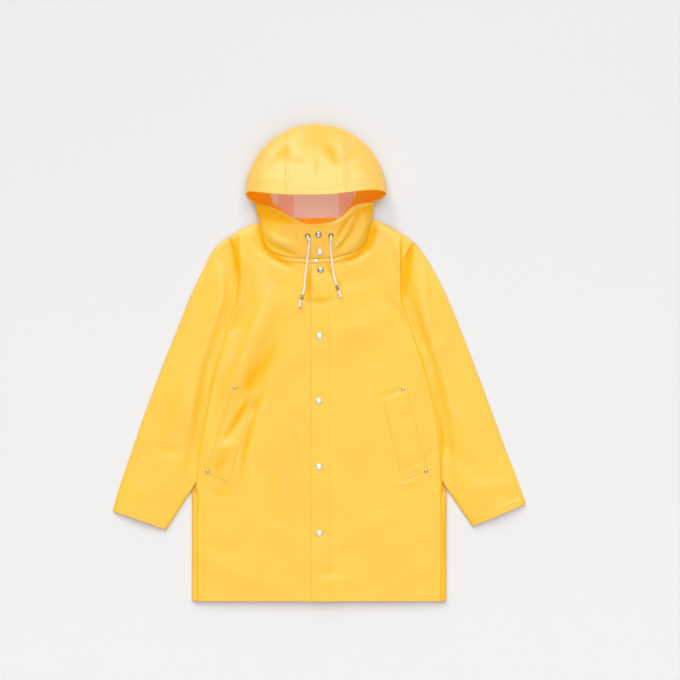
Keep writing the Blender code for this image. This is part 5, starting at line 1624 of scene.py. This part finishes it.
def eyelet(side):
    x, y = CORDS[side][0]
    z, n = panels.at(x, y)
    place = np.array([x, y, z]) + n * (CLOTH / 2 + 0.05)
    mid, half = (EYELET_OUT + EYELET_HOLE) / 4, (EYELET_OUT - EYELET_HOLE) / 4
    section = [(mid + half * math.cos(a), EYELET_TALL * 0.30 + EYELET_TALL * 0.70 * math.sin(a)) for a in np.radians(np.linspace(0, 180, 9))]
    section = [(EYELET_OUT / 2, 0.0)] + section + [(EYELET_HOLE / 2, 0.0)]
    steps = 40
    turn = np.array(Vector((0, 0, 1)).rotation_difference(Vector(n)).to_matrix())
    verts, faces = [], []
    for r, h in section:
        verts += [(r * math.cos(2 * math.pi * k / steps), r * math.sin(2 * math.pi * k / steps), h) for k in range(steps)]
    m = len(section)
    for i in range(m):
        for k in range(steps):
            j, l = (k + 1) % steps, (i + 1) % m
            faces.append((i * steps + k, i * steps + j, l * steps + j, l * steps + k))
    obj = mesh_object("eyelet_" + side + "_ring", np.array(verts) @ turn.T + place, faces, [nickel_painted_shade])
    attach(obj, "root")
    return stands_for(obj, "eyelet_" + side), place


CLIP = [(0, 0), (2.45, 0), (2.95, 0.45), (3.2, 1.1), (3.2, 2.3), (2.8, 2.8), (2.8, 3.2), (3.2, 3.7), (3.25, 8.8),
        (2.8, 9.3), (2.8, 9.7), (3.2, 10.2), (3.2, 11.5), (2.8, 12.2), (2.3, 12.5), (0, 12.5)]
KNOT = [(0, 0), (2.4, 0.1), (3.2, 0.7), (4.0, 1.8), (4.35, 3.2), (4.35, 4.8), (4.1, 6.2), (3.4, 7.6), (2.7, 8.6),
        (2.65, 9.4), (3.0, 10.6), (3.4, 12.2), (3.55, 14.0), (3.2, 15.8), (2.3, 16.8), (0, 17.0)]

for side in ("left", "right"):
    ring, ring_place = eyelet(side)
    line = cord_route(side)
    cord = rope("cord_" + side + "_rope", line, CORD_D / 2, cord_look)
    stands_for(cord, "cord_" + side)
    end = line[-1]
    direction = line[-1] - line[-4]
    direction /= np.linalg.norm(direction)
    beyond = end + direction * 26
    z, n = panels.at(beyond[0], beyond[1])
    direction = np.array([beyond[0], beyond[1], z + (CORD_D / 2 + CLOTH / 2 + 0.5 + KNOT_RAISE) / n[2]]) - end
    direction /= np.linalg.norm(direction)
    clip_at = end + direction * 0.15
    clip = turned("cord_clip_" + side + "_metal", CLIP, clip_at, direction, [clip_metal], steps=24)
    stands_for(clip, "cord_clip_" + side)
    knot_at = clip_at + direction * 12.65
    knot = turned("cord_knot_" + side + "_tied", KNOT, knot_at, direction, [knot_look], steps=28,
                  wobble=lambda a, h: 1 + (0.13 * math.cos(2 * a + h * 0.95) if h < 8.8 else 0.10 * abs(math.sin(3.5 * a + h * 0.2))) - 0.06)
    stands_for(knot, "cord_knot_" + side)

# ---------------------------------------------------------------- the cuts

for c in CUTS:
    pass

# ---------------------------------------------------------------- studio


def sun(name, towards, share, angle):
    """A soft distant light from that direction, giving this share of white on
    a level face."""
    data = bpy.data.lights.new(name, "SUN")
    v = Vector(towards).normalized()
    data.energy, data.angle = share * math.pi / v.z, math.radians(angle)
    obj = bpy.data.objects.new(name, data)
    bpy.context.scene.collection.objects.link(obj)
    obj.location = v * 3
    obj.rotation_mode = "QUATERNION"
    obj.rotation_quaternion = v.to_track_quat("Z", "Y")
    return obj


for light in LIGHTS:
    sun(light.name, (light.x, light.y, light.z), light.share, light.angle)
lamp_data = bpy.data.lights.new("hood_lamp", "AREA")
lamp_data.shape, lamp_data.size, lamp_data.energy = "DISK", 0.7, LAMP_WATTS
lamp = bpy.data.objects.new("hood_lamp", lamp_data)
bpy.context.scene.collection.objects.link(lamp)
lamp.location = LAMP_AT
lamp.rotation_mode = "QUATERNION"
lamp.rotation_quaternion = (Vector(LAMP_AT) - Vector((0.0, 0.35, 0.0))).to_track_quat("Z", "Y")
world = bpy.data.worlds.new("world")
bpy.context.scene.world = world
world.use_nodes = True
wn, wl = world.node_tree.nodes, world.node_tree.links
wc = wn.new("ShaderNodeTexCoord")
ws = wn.new("ShaderNodeSeparateXYZ")
wl.new(wc.outputs["Generated"], ws.inputs[0])
wide = mathed(wn, wl, "ADD", mathed(wn, wl, "MULTIPLY", ws.outputs["Y"], 0.5), 0.5)
wl.new(ramp(wn, wl, wide, [(k, (v, v, v)) for k, v in WORLD]), wn["Background"].inputs["Color"])
wn["Background"].inputs["Strength"].default_value = 1.0

floor_mesh = bpy.data.meshes.new("floor")
floor_mesh.from_pydata([(-6, -6, -0.0003), (6, -6, -0.0003), (6, 6, -0.0003), (-6, 6, -0.0003)], [], [(0, 1, 2, 3)])
floor = bpy.data.objects.new("floor", floor_mesh)
bpy.context.scene.collection.objects.link(floor)
fm, fn, fl, fs = material("floor")
# paper a little darker at the lamp's end, so that it looks even
place = fn.new("ShaderNodeTexCoord")
apart = fn.new("ShaderNodeSeparateXYZ")
fl.new(place.outputs["Object"], apart.inputs[0])
height = mathed(fn, fl, "MULTIPLY", mathed(fn, fl, "ADD", apart.outputs["Y"], 2.0), 0.25, clamp=True)
fl.new(ramp(fn, fl, height, [(k, (v, v, v)) for k, v in FLOOR]), fs.inputs["Base Color"])
fs.inputs["Roughness"].default_value = 0.9
fs.inputs["Specular IOR Level"].default_value = 0.1
floor_mesh.materials.append(fm)

view = bpy.context.scene.view_settings
view.view_transform = "Standard"
view.look = "None"
view.exposure = 0.0
view.gamma = 1.0
